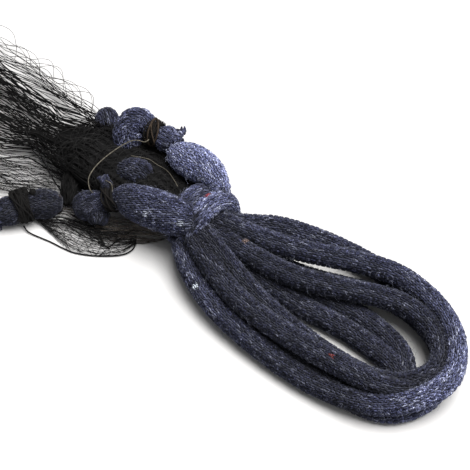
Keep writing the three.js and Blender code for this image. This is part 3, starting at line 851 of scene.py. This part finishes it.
def add_hairs(fibres, tube, others, shades, per_mm=HAIRS_PER_MM, colour=HAIR_COLOUR):
    """Fine fibres that stand out of a cord's yarn."""
    count = int(tube.length * per_mm)
    distance = rng.uniform(0, tube.length, count)
    angle = rng.uniform(0, 2 * np.pi, count)
    centre, outward, radius = tube.at(distance, angle)
    root = centre + outward * (radius - HAIR_ROOT_DEPTH)[:, None]
    sideways = unit(np.cross(outward, rng.normal(size=(count, 3))))
    half_length = HAIR_LENGTH / 2 * rng.lognormal(0, HAIR_LENGTH_SPREAD, count)[:, None]
    middle = root + (HAIR_FIRST_RISE * outward + HAIR_SWEEP * sideways) * half_length
    bend = unit(rng.normal(size=(count, 3))) * HAIR_BEND
    tip = middle + (HAIR_LAST_RISE * outward + HAIR_SWEEP * sideways + bend) * half_length
    paths = np.stack([root, middle, tip], axis=1)
    room = clearance(middle, others)
    kept = (room > -BURIED_DEPTH) & (middle[:, 2] > HAIR_LEAST_Z)
    radii = HAIR_RADIUS * HAIR_TAPER
    # Hairs take the same painted light and shade as the yarn under them
    colours = np.array(colour) * each(*HAIR_LIGHTNESS, count) * tone_and_painted_shade(tube, distance, shades, room)
    facing = np.repeat(outward[:, None], len(radii), axis=1)
    fibres.add_round(paths[kept], radii, facing[kept], within_lightest(colours[kept]), HAIR_SIDES)


def sides_of(along, lean):
    """Two directions across a line, found from an up that leans a little."""
    side = unit(np.cross(along, UP + lean))
    return side, np.cross(along, side)


def add_tuft(fibres, base, direction, spread, length, count, shade):
    """Cut yarn ends, short and thick, each curled over its own way."""
    direction = unit(np.array(direction, float))
    side, other = sides_of(direction, TUFT_LEAN)
    angle = rng.uniform(0, 2 * np.pi, count)
    reach = spread * np.sqrt(rng.uniform(TUFT_MIDDLE_SHARE, 1, count))
    ring = turned(angle, side, other)
    root = np.array(base) + ring * reach[:, None] * TUFT_ROOT_SHARE
    share = np.linspace(0, 1, len(TUFT_TAPER))[None, :, None]
    lengths = length * rng.uniform(*TUFT_LENGTHS, count)[:, None, None]
    rise = direction * lengths * np.sin(TUFT_BEND * np.pi * share)
    flare = ring[:, None] * share**TUFT_FLARE_CURVE * (reach[:, None, None] * TUFT_FLARE)
    curl_turn = share * rng.uniform(*TUFT_CURL_ANGLES, count)[:, None, None] + angle[:, None, None]
    curl = turned(curl_turn[..., 0], side, other) * TUFT_CURL * share
    radii = TUFT_YARN * np.array(TUFT_TAPER)
    colours = heather_colours(count) * shade
    paths = root[:, None] + rise + flare + curl
    fibres.add_round(paths, radii, TUFT_FACING, colours, THREAD_SIDES)


def add_thread(fibres, route, radius, colour):
    """One smooth thread along a given route."""
    path = even_route(smooth_route(route), THREAD_POINTS)[None, :, :3]
    fibres.add_round(path, radius, THREAD_FACING, [colour], THREAD_SIDES)


def loop_route(places, number):
    """The stations of an end loop, as in the part's source, with the cord's radius."""
    far_neck, far_middle, far_side, tip, near_side, near_middle, near_neck = places
    back_x = NECK_BACK_X - NECK_STAGGER * number

    def gathered(y, z):
        middle_y, middle_z = NECK_MIDDLE
        return middle_y + (y - middle_y) * NECK_SHARE, middle_z + (z - middle_z) * NECK_SHARE

    def shoulder(side):
        return (
            side[0] + (tip[0] - side[0]) * TIP_SHOULDER,
            tip[1] + (side[1] - tip[1]) * TIP_SHOULDER,
            (side[2] + tip[2]) / 2,
        )

    stations = [
        (back_x, *gathered(*far_neck)),
        (NECK_FRONT_X, *far_neck),
        far_middle,
        far_side,
        shoulder(far_side),
        tip,
        shoulder(near_side),
        near_side,
        near_middle,
        (NECK_FRONT_X, *near_neck),
        (back_x - NECK_STAGGER / 2, *gathered(*near_neck)),
    ]
    return [(*station, CORD_RADIUS) for station in stations]


def wrap_route(x, y, z, half_width, half_height):
    """The leaning ellipse of one turn round the neck."""
    angles = even_angles(WRAP_POINTS)
    across = half_width * np.cos(angles)
    along = x + WRAP_LEAN * across - WRAP_SLANT * np.sin(angles)
    height = z + half_height * np.sin(angles)
    return np.column_stack([along, y + across, height, np.full(WRAP_POINTS, WRAP_RADIUS)])


def node_tree(name):
    """A new material, with its nodes, its links and its shader."""
    material = bpy.data.materials.new(name)
    material.use_nodes = True
    nodes = material.node_tree.nodes
    return material, nodes, material.node_tree.links, nodes["Principled BSDF"]


def set_inputs(node, values):
    """Sets each named input of a node to a constant."""
    for name, value in values.items():
        node.inputs[name].default_value = value


def add_noise(nodes, links, scale, detail):
    """Noise over the part's own coordinates."""
    place = nodes.new("ShaderNodeTexCoord")
    noise = nodes.new("ShaderNodeTexNoise")
    set_inputs(noise, {"Scale": scale, "Detail": detail})
    links.new(place.outputs["Object"], noise.inputs["Vector"])
    return noise


def map_range(nodes, links, noise, start, end, low, high):
    """The noise between start and end, spread from low to high."""
    spread = nodes.new("ShaderNodeMapRange")
    set_inputs(spread, {"From Min": start, "From Max": end, "To Min": low, "To Max": high})
    links.new(noise.outputs["Fac"], spread.inputs["Value"])
    return spread.outputs["Result"]


def coloured_by_yarn(nodes, links, shader, lightness):
    """Each yarn's own colour, made lighter and darker."""
    yarn = nodes.new("ShaderNodeAttribute")
    yarn.attribute_name = "yarn"
    product = nodes.new("ShaderNodeVectorMath")
    product.operation = "SCALE"
    links.new(yarn.outputs["Color"], product.inputs["Vector"])
    links.new(lightness, product.inputs["Scale"])
    links.new(product.outputs["Vector"], shader.inputs["Base Color"])


def add_bump(nodes, links, shader, noise, strength, distance):
    """A little relief from the same noise."""
    bump = nodes.new("ShaderNodeBump")
    set_inputs(bump, {"Strength": strength, "Distance": distance})
    links.new(noise.outputs["Fac"], bump.inputs["Height"])
    links.new(bump.outputs["Normal"], shader.inputs["Normal"])


def cord_material():
    """Heathered wool-like yarn: fibre noise and light strokes in the colour, a soft sheen."""
    material, nodes, links, shader = node_tree("heathered_cord")
    noise = add_noise(nodes, links, scale=2600, detail=3)
    strokes = add_noise(nodes, links, scale=3600, detail=1)
    lightness = nodes.new("ShaderNodeMath")
    lightness.operation = "ADD"
    fibre_share = map_range(nodes, links, noise, start=0.33, end=0.7, low=0.05, high=1.9)
    stroke_share = map_range(nodes, links, strokes, start=0.54, end=0.67, low=0.0, high=4.0)
    links.new(fibre_share, lightness.inputs[0])
    links.new(stroke_share, lightness.inputs[1])
    coloured_by_yarn(nodes, links, shader, lightness.outputs["Value"])
    add_bump(nodes, links, shader, noise, strength=0.5, distance=0.0001)
    set_inputs(shader, {"Roughness": 0.95, "Specular IOR Level": 0.2})
    set_inputs(shader, {"Sheen Weight": 0.08, "Sheen Roughness": 0.55, "Sheen Tint": (0.75, 0.8, 1.0, 1)})
    return material


def lashing_material():
    """Waxed thread, black to brown."""
    material, nodes, links, shader = node_tree("lashing_thread")
    noise = add_noise(nodes, links, scale=2600, detail=2)
    lightness = map_range(nodes, links, noise, start=0.3, end=0.7, low=0.5, high=1.6)
    coloured_by_yarn(nodes, links, shader, lightness)
    add_bump(nodes, links, shader, noise, strength=0.4, distance=0.00008)
    set_inputs(shader, {"Roughness": 0.85, "Specular IOR Level": 0.15})
    return material


def net_material():
    """Fine black nylon with a slight gloss."""
    material, nodes, links, shader = node_tree("net_nylon")
    noise = add_noise(nodes, links, scale=900, detail=2)
    lightness = map_range(nodes, links, noise, start=0.3, end=0.7, low=0.5, high=1.5)
    coloured_by_yarn(nodes, links, shader, lightness)
    roughness = map_range(nodes, links, noise, start=0.0, end=1.0, low=0.65, high=0.9)
    links.new(roughness, shader.inputs["Roughness"])
    set_inputs(shader, {"Specular IOR Level": 0.1})
    return material


def floor_material():
    """Plain pale floor."""
    material, _, _, shader = node_tree("pale_floor")
    set_inputs(shader, {"Base Color": FLOOR_COLOUR, "Roughness": 0.8, "Specular IOR Level": 0.1})
    return material


def make_cords(surface):
    """Every knitted cord: the five loops, the turns round the neck and the ends."""
    loops = {name: Tube(loop_route(row, number)) for number, (name, row) in enumerate(LOOPS.items())}
    turns = [Tube(wrap_route(*row), closed=True) for row in WRAPS]
    ends = {name: Tube(rows) for name, rows in CORD_ENDS.items()}
    everything = [*loops.values(), *turns, *ends.values()]

    def dress(fibres, tube, wales, twist, shades):
        """Knit and fibres, left out where other cords bury them."""
        others = [other for other in everything if other is not tube]
        knit(fibres, tube, wales, twist, others, shades)
        add_hairs(fibres, tube, others, shades)

    for name, tube in loops.items():
        fibres = Fibres()
        dress(fibres, tube, LOOP_WALES, 0.0, CORD_TONE_AND_PAINTED_LIGHT[name])
        fibres.make(f"loop_{name}", surface, "cord", ["loop_hank"])

    fibres = Fibres()
    for turn, shades in zip(turns, TURN_TONE_AND_PAINTED_LIGHT):
        dress(fibres, turn, LOOP_WALES, TURN_TWIST, shades)
    fibres.make("neck_wrap_knit", surface, "cord", ["neck_wrap"])

    for name, tube in ends.items():
        fibres = Fibres()
        dress(fibres, tube, *END_KNIT[name], CORD_TONE_AND_PAINTED_LIGHT[name])
        for rows in END_LUMPS.get(name, []):
            knit(fibres, Tube(rows), LUMP_WALES, 0.0, [tube], LUMP_SHADES)
        if name in TUFTS:
            add_tuft(fibres, *TUFTS[name])
        fibres.make(f"{name}_knit", surface, "cord", [name])


def wound_thread(centre, along, waist, width, layer):
    """One layer of thread round a waist: its turns stray along the cord and cross each other."""
    side, other = sides_of(along, WINDING_LEAN)
    turns = layer["turns"]
    share = np.linspace(0, 1, turns * LASHING_STEPS)
    angle = 2 * np.pi * turns * share
    phase = 2 * np.pi * rng.random() + WINDING_DRIFT * share
    tilt = 1 + WINDING_TILT * np.sin(WINDING_TILT_RATE * angle + phase)
    swing = np.sin(angle + phase + WINDING_SWING * np.sin(WINDING_SWING_RATE * angle))
    stray = layer["stray"] * tilt * swing + WINDING_WAVE * np.sin(WINDING_WAVE_RATE * angle)
    reach = waist + layer["reach"] + WINDING_LIFT * np.sin(WINDING_LIFT_RATE * angle + phase)
    place = (share - 0.5) * (width - 2 * layer["stray"]) + stray
    around = turned(angle, side, other)
    return centre + along * place[:, None] + around * reach[:, None]


def make_lashings(surface):
    """Wound thread round each waist, with its fuzz and knots."""
    for name, (centre, along, waist, width, brown) in LASHINGS.items():
        fibres = Fibres()
        centre = np.array(centre)
        along = unit(np.array(along, float))
        for layer in LASHING_LAYERS:
            path = wound_thread(centre, along, waist, width, layer)
            facing = unit(path - centre)[None]
            share = brown * layer["brown"]
            colour = np.array(LASHING_BLACK) * (1 - share) + np.array(LASHING_BROWN) * share
            fibres.add_round(path[None], LASHING_THREAD_RADIUS, facing, [colour], THREAD_SIDES)
        fuzz_radius = waist + LASHING_FUZZ_LIFT
        ends = [(*(centre + along * place), fuzz_radius) for place in (-width / 2, 0, width / 2)]
        add_hairs(fibres, Tube(ends), [], EVEN_SHADES, LASHING_FUZZ_PER_MM, LASHING_FUZZ_COLOUR)
        if name == "lashing_left":
            add_ball(fibres, centre, along, LEFT_TANGLE_RADIUS, LEFT_TANGLE_SQUASH, LEFT_TANGLE_TURNS)
            for place in LASHING_KNOTS:
                add_ball(fibres, np.array(place), along, KNOT_RADIUS, 1.0, KNOT_TURNS)
        fibres.make(f"{name}_thread", surface, "lashing", [name])
    make_loose_thread(surface)


def make_loose_thread(surface):
    """The loose turns of the lashing thread."""
    fibres = Fibres()
    for name, route in THREAD_LOOPS.items():
        add_thread(fibres, route, THREAD_RADII[name], THREAD_OLIVE)
    fibres.make("loose_thread", surface, "lashing", [])


def add_ball(fibres, centre, along, radius, squash, turns):
    """A ball of thread, wound at all angles round one middle and pressed flatter along one direction."""
    turn = np.linspace(0, 2 * np.pi * turns, BALL_STEPS * turns)
    tilt = BALL_TILT * turn
    around = np.stack([np.cos(turn) * np.cos(tilt), np.cos(turn) * np.sin(tilt), np.sin(turn)], axis=-1)
    pressed = around - along * (1 - squash) * (around @ along)[:, None]
    path = centre + radius * (1 + BALL_ROUGHNESS * np.sin(BALL_ROUGHNESS_RATE * turn))[:, None] * pressed
    fibres.add_round(path[None], LASHING_THREAD_RADIUS, around[None], [LASHING_BLACK], THREAD_SIDES)


def sections_at(rows, x):
    """The columns past x of a table of sections, at places along it."""
    rows = np.array(sorted(rows), float)
    return [np.interp(x, rows[:, 0], column) for column in rows.T[1:]]


def run_along(points):
    """Even shares from the start of a thread to its end."""
    return np.linspace(0, 1, points)[None]


def alternate(count):
    """Minus one and one by turns."""
    return np.where(np.arange(count) % 2, 1.0, -1.0)


def ripple(rates, along, across):
    """A wave at one rate along the threads and another from thread to thread."""
    return np.sin(rates[0] * along + rates[1] * across)


def laid(x, y, z):
    """Threads through those places, no lower than the floor lets them lie."""
    return np.stack([x, y, np.maximum(z, THREAD_CLEARANCE)], axis=-1)


def root_rings():
    """Rings of the gathered root, with its folds, from the neck outwards."""
    x = np.linspace(ROOT_CORE_START_X, ROOT_CORE_END_X, ROOT_RINGS)[:, None]
    y, z, half_width, half_height = sections_at(NET_ROOT, x)
    angle = even_angles(ROOT_SIDES)
    size = np.interp(x, (ROOT_CORE_END_X, ROOT_OPENS_X), (ROOT_CORE_END_SHARE, ROOT_CORE_SHARE))
    fold = size * (1 + ROOT_FOLD_DEPTH * np.cos(ROOT_FOLDS * angle + ROOT_FOLD_TWIST * x))
    ring_y = y - half_width * fold * np.cos(angle)
    ring_z = z + half_height * fold * np.sin(angle)
    return np.stack([x + 0 * fold, ring_y, ring_z], axis=-1)


def mesh_places(layers, threads):
    """Places across a sheet, 0 at its near edge and 1 at its far edge, and which way each thread swings."""
    even = np.linspace(0, 1, threads)
    shift = each(-0.5, 0.5, layers) / threads
    return (even + shift).ravel(), np.tile(alternate(threads), layers)


def sheet_threads(rows, mesh):
    """Threads along a sheet, meeting their neighbours by turns with slits between, and their places."""
    layers, threads, slit_length, slit_width, start_x, end_x, drift = mesh
    across, swing = mesh_places(layers, threads)
    count = len(across)
    first = start_x + each(*START_STRAY, count)
    last = end_x + each(*END_STRAY, count)
    run = run_along(NET_POINTS)
    x = first + (last - first) * run
    near, far, low, high = sections_at(rows, x)
    place = np.clip(across[:, None] + strays(drift, count) * run, *PLACE_LIMITS)
    shared = SHEET_WAVE * np.sin(2 * np.pi * x / SHEET_WAVE_LENGTH + SHEET_WAVE_SLANT * place)
    layer = np.repeat(rng.uniform(0, 2 * np.pi, layers), threads)[:, None]
    shift = SLIT_SHIFT * np.sin(x / SLIT_SHIFT_LENGTH + SLIT_SHIFT_SLANT * place)
    beat = 2 * np.pi * x / slit_length + layer + shift
    slit = 0.5 * slit_width * swing[:, None] * np.sin(beat)
    own_turn = 2 * np.pi * x / each(*THREAD_WAVE_LENGTHS, count)
    own = THREAD_WAVE * np.sin(own_turn + each(0, 2 * np.pi, count))
    y = near + (far - near) * place + shared + slit + own
    z = low + (high - low) * each(0, 1, count) + THREAD_WAVE * np.sin(own_turn)
    return laid(x, y, z), across


def drawn_to_root(threads, across):
    """The same threads, laid on the gathered root where they come near it."""
    x, y, z = np.moveaxis(threads, -1, 0)
    root_y, root_z, half_width, half_height = sections_at(NET_ROOT, x)
    across = across[:, None]
    turn = np.clip(2 * across - 1, -ROOT_EDGE, ROOT_EDGE)
    upper = np.where(rng.random(across.shape) < ROOT_UPPER_SHARE, 1.0, -1.0)
    rim_wave = ROOT_RIM_WAVE * np.sin(ROOT_RIM_RATE * across)
    rim = np.sqrt(1 - turn**2) * upper * (1 - ROOT_RIM_WAVE + rim_wave)
    opening = smooth_share(-x, -ROOT_OPENS_X, -ROOT_OPEN_X)
    wave = ROOT_WAVE * np.sin(x / ROOT_WAVE_LENGTH + ROOT_WAVE_SLANT * across)
    on_root_y = root_y + half_width * turn + wave
    on_root_z = root_z + half_height * rim
    drawn_y = on_root_y * (1 - opening) + y * opening
    drawn_z = on_root_z * (1 - opening) + z * opening
    return laid(x, drawn_y, drawn_z)


def root_threads():
    """Loose threads that lie over the root at all slants."""
    run = run_along(ROOT_POINTS)
    start = each(*ROOT_SPAN, ROOT_THREADS)
    length = each(*ROOT_LENGTHS, ROOT_THREADS)
    slant = strays(ROOT_SLANT, ROOT_THREADS) + ROOT_BEND * ripple(ROOT_BEND_RATES, run, start)
    x = start - length * np.cos(slant) * (run - 0.5)
    turn = np.pi * each(*ROOT_TURNS, ROOT_THREADS) + length * np.sin(slant) * (run - 0.5) / ROOT_REACH
    root_y, root_z, half_width, half_height = sections_at(NET_ROOT, x)
    return laid(x, root_y - half_width * np.cos(turn), root_z + half_height * np.sin(turn) + ROOT_LIFT)


def fringe_arcs():
    """Single threads that bow out past the far edge of the fan."""
    run = run_along(NET_POINTS)
    start = np.linspace(*ARC_STARTS, FRINGE_ARCS)[:, None] + each(-ARC_STRAY, ARC_STRAY, FRINGE_ARCS)
    length = each(*ARC_LENGTHS, FRINGE_ARCS)
    x = start - length * run
    bow = each(*ARC_BOWS, FRINGE_ARCS) * length
    skew = run ** each(*ARC_SKEWS, FRINGE_ARCS)
    _, far, _, high = sections_at(NET_LINES, x)
    return laid(x, far - ARC_INSET + bow * np.sin(np.pi * skew), high * each(*ARC_HEIGHTS, FRINGE_ARCS))


def net_colours(count, lightest):
    """Black threads, some a little greyer or browner."""
    share = rng.random((count, 1)) ** 2
    return np.array(NET_BLACK) * (1 - share) + np.array(lightest) * share


def on_edge(edge, along):
    """Points at shares of the way along an edge."""
    route = even_route(smooth_route(edge), EDGE_POINTS)
    shares = np.linspace(0, 1, EDGE_POINTS)
    return np.stack([np.interp(along, shares, column) for column in route.T], axis=-1)


def between_edges(near, far, along, across):
    """Points between two edges of the net."""
    across = across[..., None]
    return on_edge(near, along) * (1 - across) + on_edge(far, along) * across


def flap_threads():
    """The small flap on the floor: threads drawn along it, a few across, and a bunch at its top edge."""
    run = run_along(FLAP_POINTS)
    even = np.linspace(*FLAP_LINE_SPAN, FLAP_LINES)[:, None]
    shift = ripple(FLAP_SHIFT_RATES, run, even)
    slit = FLAP_SLIT * alternate(FLAP_LINES)[:, None] * ripple(FLAP_SLIT_RATES, run, shift)
    wave = FLAP_WAVE * ripple(FLAP_WAVE_RATES, run, even)
    across = even + slit + wave + strays(FLAP_STRAY, FLAP_LINES) * run
    first = each(0, FLAP_CORNER, FLAP_LINES) * (1 - even)
    groups = [between_edges(FLAP_NEAR, FLAP_FAR, first + (1 - first) * run, across)]
    for lean in CROSSING_LEANS:
        start = np.linspace(*CROSSING_SPAN, FLAP_CROSSINGS)[:, None] + strays(CROSSING_STRAY, FLAP_CROSSINGS)
        wave = ripple(CROSSING_WAVE_RATES, run, each(*CROSSING_PHASES, FLAP_CROSSINGS))
        along = start + lean * run + CROSSING_WAVE * wave
        groups.append(between_edges(FLAP_NEAR, FLAP_FAR, along, run + 0 * along))
    top = each(*FLAP_TOP_PLACES, FLAP_TOP_THREADS) + strays(FLAP_STRAY, FLAP_TOP_THREADS) * run
    last = each(*FLAP_TOP_ENDS, FLAP_TOP_THREADS)
    groups.append(between_edges(FLAP_NEAR, FLAP_FAR, last * run, top))
    threads = np.concatenate(groups)
    threads[..., 2] += each(*FLAP_LIFTS, len(threads))
    return threads


def behind_flap_threads():
    """Threads that lie between the far edge of the flap and the fold behind it."""
    run = run_along(SHORT_POINTS)
    first = each(*BEHIND_STARTS, BEHIND_THREADS)
    last = np.minimum(first + each(*BEHIND_LENGTHS, BEHIND_THREADS), 1)
    across = each(0, 1, BEHIND_THREADS) + strays(BEHIND_SLANT, BEHIND_THREADS) * (run - 0.5)
    return between_edges(FLAP_FAR, BEHIND_FLAP, first + (last - first) * run, across)


def under_lobe_threads():
    """Threads drawn from the neck under the lower cord end to the flap."""
    run = run_along(SHORT_POINTS)
    start = each(0, 1, UNDER_THREADS)
    end = np.clip(start + strays(UNDER_SLANT, UNDER_THREADS), 0, 1)
    across = start + (end - start) * run + UNDER_WAVE * ripple(UNDER_WAVE_RATES, run, start)
    first = each(*UNDER_STARTS, UNDER_THREADS)
    last = each(*UNDER_ENDS, UNDER_THREADS)
    return between_edges(UNDER_LOW, UNDER_HIGH, first + (last - first) * run, across)


def add_net_threads(fibres, threads, radius, lightest):
    """Thin round threads in blacks of their own."""
    fibres.add_round(threads, radius, NET_FACING, net_colours(len(threads), lightest), NET_SIDES)


def add_fold(fibres, rows):
    """A fold of net, covered in threads that run along it."""
    tube = Tube(rows)
    fibres.add_skin(tube.rings(FOLD_CORE_SHARE * tube.radii, FOLD_SIDES), NET_BLACK)
    run = run_along(FOLD_POINTS)
    turn = each(0, 2 * np.pi, FOLD_THREADS) + strays(FOLD_TURN, FOLD_THREADS) * run
    centre, outward, radius = tube.at(run * tube.length + 0 * turn, turn)
    wave = FOLD_WAVE * ripple(FOLD_WAVE_RATES, run, turn[:, :1])
    reach = radius * (each(*FOLD_REACH, FOLD_THREADS) + wave)
    threads = laid(*np.moveaxis(centre + outward * reach[..., None], -1, 0))
    add_net_threads(fibres, threads, FINE_RADIUS, ROOT_GREY)


def make_gathered(surface):
    """The dark root of the net, its loose threads and its two folds."""
    fibres = Fibres()
    fibres.add_skin(root_rings(), NET_BLACK)
    add_net_threads(fibres, root_threads(), FINE_RADIUS, ROOT_GREY)
    for rows in (NET_DROP, NET_SHOULDER):
        add_fold(fibres, rows)
    fibres.make("net_gathered", surface, "net", ["net_main"])


def make_fan(surface):
    """The dense threads that spread from the root."""
    fibres = Fibres()
    dense, places = sheet_threads(NET_DENSE, DENSE_MESH)
    add_net_threads(fibres, drawn_to_root(dense, places), NET_RADIUS, NET_GREY)
    fibres.make("net_fan", surface, "net", ["net_main"])


def make_edges(surface):
    """What lies beside the fan: its far lines, the fringe, the thin veil and the border lines."""
    fibres = Fibres()
    lines, _ = sheet_threads(NET_LINES, LINE_MESH)
    add_net_threads(fibres, lines, LINE_RADIUS, NET_GREY)
    add_net_threads(fibres, fringe_arcs(), VEIL_RADIUS, NET_BROWN)
    veil, _ = sheet_threads(NET_VEIL, VEIL_MESH)
    crossing, _ = sheet_threads(NET_VEIL, VEIL_CROSSING)
    for threads in (veil, crossing):
        add_net_threads(fibres, threads, VEIL_RADIUS, NET_GREY)
    # The haze of fine threads also stands in for the floor's shadow under the veil: painted shade
    shade_haze, _ = sheet_threads(NET_VEIL, VEIL_SHADE_HAZE)
    add_net_threads(fibres, shade_haze[:, ::SHADE_HAZE_STEP], SHADE_HAZE_RADIUS, NET_GREY)
    for route in NET_BORDERS.values():
        add_thread(fibres, route, BORDER_RADIUS, NET_BLACK)
    fibres.make("net_edges", surface, "net", ["net_main"])


def make_flap(surface):
    """The flap on the floor, the net around it and its border lines."""
    fibres = Fibres()
    add_net_threads(fibres, flap_threads(), FINE_RADIUS, NET_GREY)
    add_net_threads(fibres, behind_flap_threads(), FINE_RADIUS, NET_BROWN)
    add_net_threads(fibres, under_lobe_threads(), FINE_RADIUS, UNDER_BROWN)
    for route in FLAP_BORDERS.values():
        add_thread(fibres, route, BORDER_RADIUS, NET_BLACK)
    fibres.make("net_flap", surface, "net", ["net_low"])


def make_net(surface):
    """The whole net, from its gathered root outwards."""
    for make in (make_gathered, make_fan, make_edges, make_flap):
        make(surface)


def view_directions():
    """Directions of the photograph's view: back to the camera, to its right and away over the floor."""
    azimuth = math.radians(VIEW_AZIMUTH)
    elevation = math.radians(VIEW_ELEVATION)
    towards = Vector((math.sin(azimuth), -math.cos(azimuth), 0))
    back = towards * math.cos(elevation) + Vector((0, 0, math.sin(elevation)))
    right = Vector((math.cos(azimuth), math.sin(azimuth), 0))
    return back, right, -towards


def place_facing(name, data, direction, distance):
    """A camera or light at a distance from the part, turned to look at it."""
    thing = bpy.data.objects.new(name, data)
    thing.location = VIEW_TARGET + direction * distance
    thing.rotation_mode = "QUATERNION"
    thing.rotation_quaternion = (-direction).to_track_quat("-Z", "Y")
    bpy.context.scene.collection.objects.link(thing)
    return thing


def make_camera():
    """A camera at the photograph's angle."""
    back, _, _ = view_directions()
    data = bpy.data.cameras.new("photo_view")
    data.sensor_width = SENSOR_WIDTH
    data.lens = SENSOR_WIDTH * VIEW_DISTANCE / VIEW_WIDTH
    data.clip_start = CLIP_START
    bpy.context.scene.camera = place_facing("photo_view", data, back, VIEW_DISTANCE)


def add_area_light(name, direction, power, colour):
    """A soft square light that looks at the part."""
    data = bpy.data.lights.new(name, "AREA")
    data.size = LIGHT_SIZE
    data.energy = power
    data.color = colour
    place_facing(name, data, direction.normalized(), LIGHT_DISTANCE)


def make_stage(surface):
    """A plain pale floor, soft studio light and a bright surround."""
    bpy.ops.mesh.primitive_plane_add(size=FLOOR_SIZE, location=(0, 0, 0))
    floor = bpy.context.object
    floor.name = "floor"
    floor.data.materials.append(surface)
    _, right, away = view_directions()
    for name, ((rightward, forward, upward), power, colour) in LIGHTS.items():
        direction = right * rightward - away * forward + Vector((0, 0, upward))
        add_area_light(name, direction, power, colour)
    world = bpy.data.worlds.new("studio")
    world.use_nodes = True
    surround = {"Color": SURROUND_COLOUR, "Strength": SURROUND_STRENGTH}
    set_inputs(world.node_tree.nodes["Background"], surround)
    bpy.context.scene.world = world
    bpy.context.scene.view_settings.view_transform = "Standard"


make_camera()
make_cords(cord_material())
make_lashings(lashing_material())
make_net(net_material())
make_stage(floor_material())
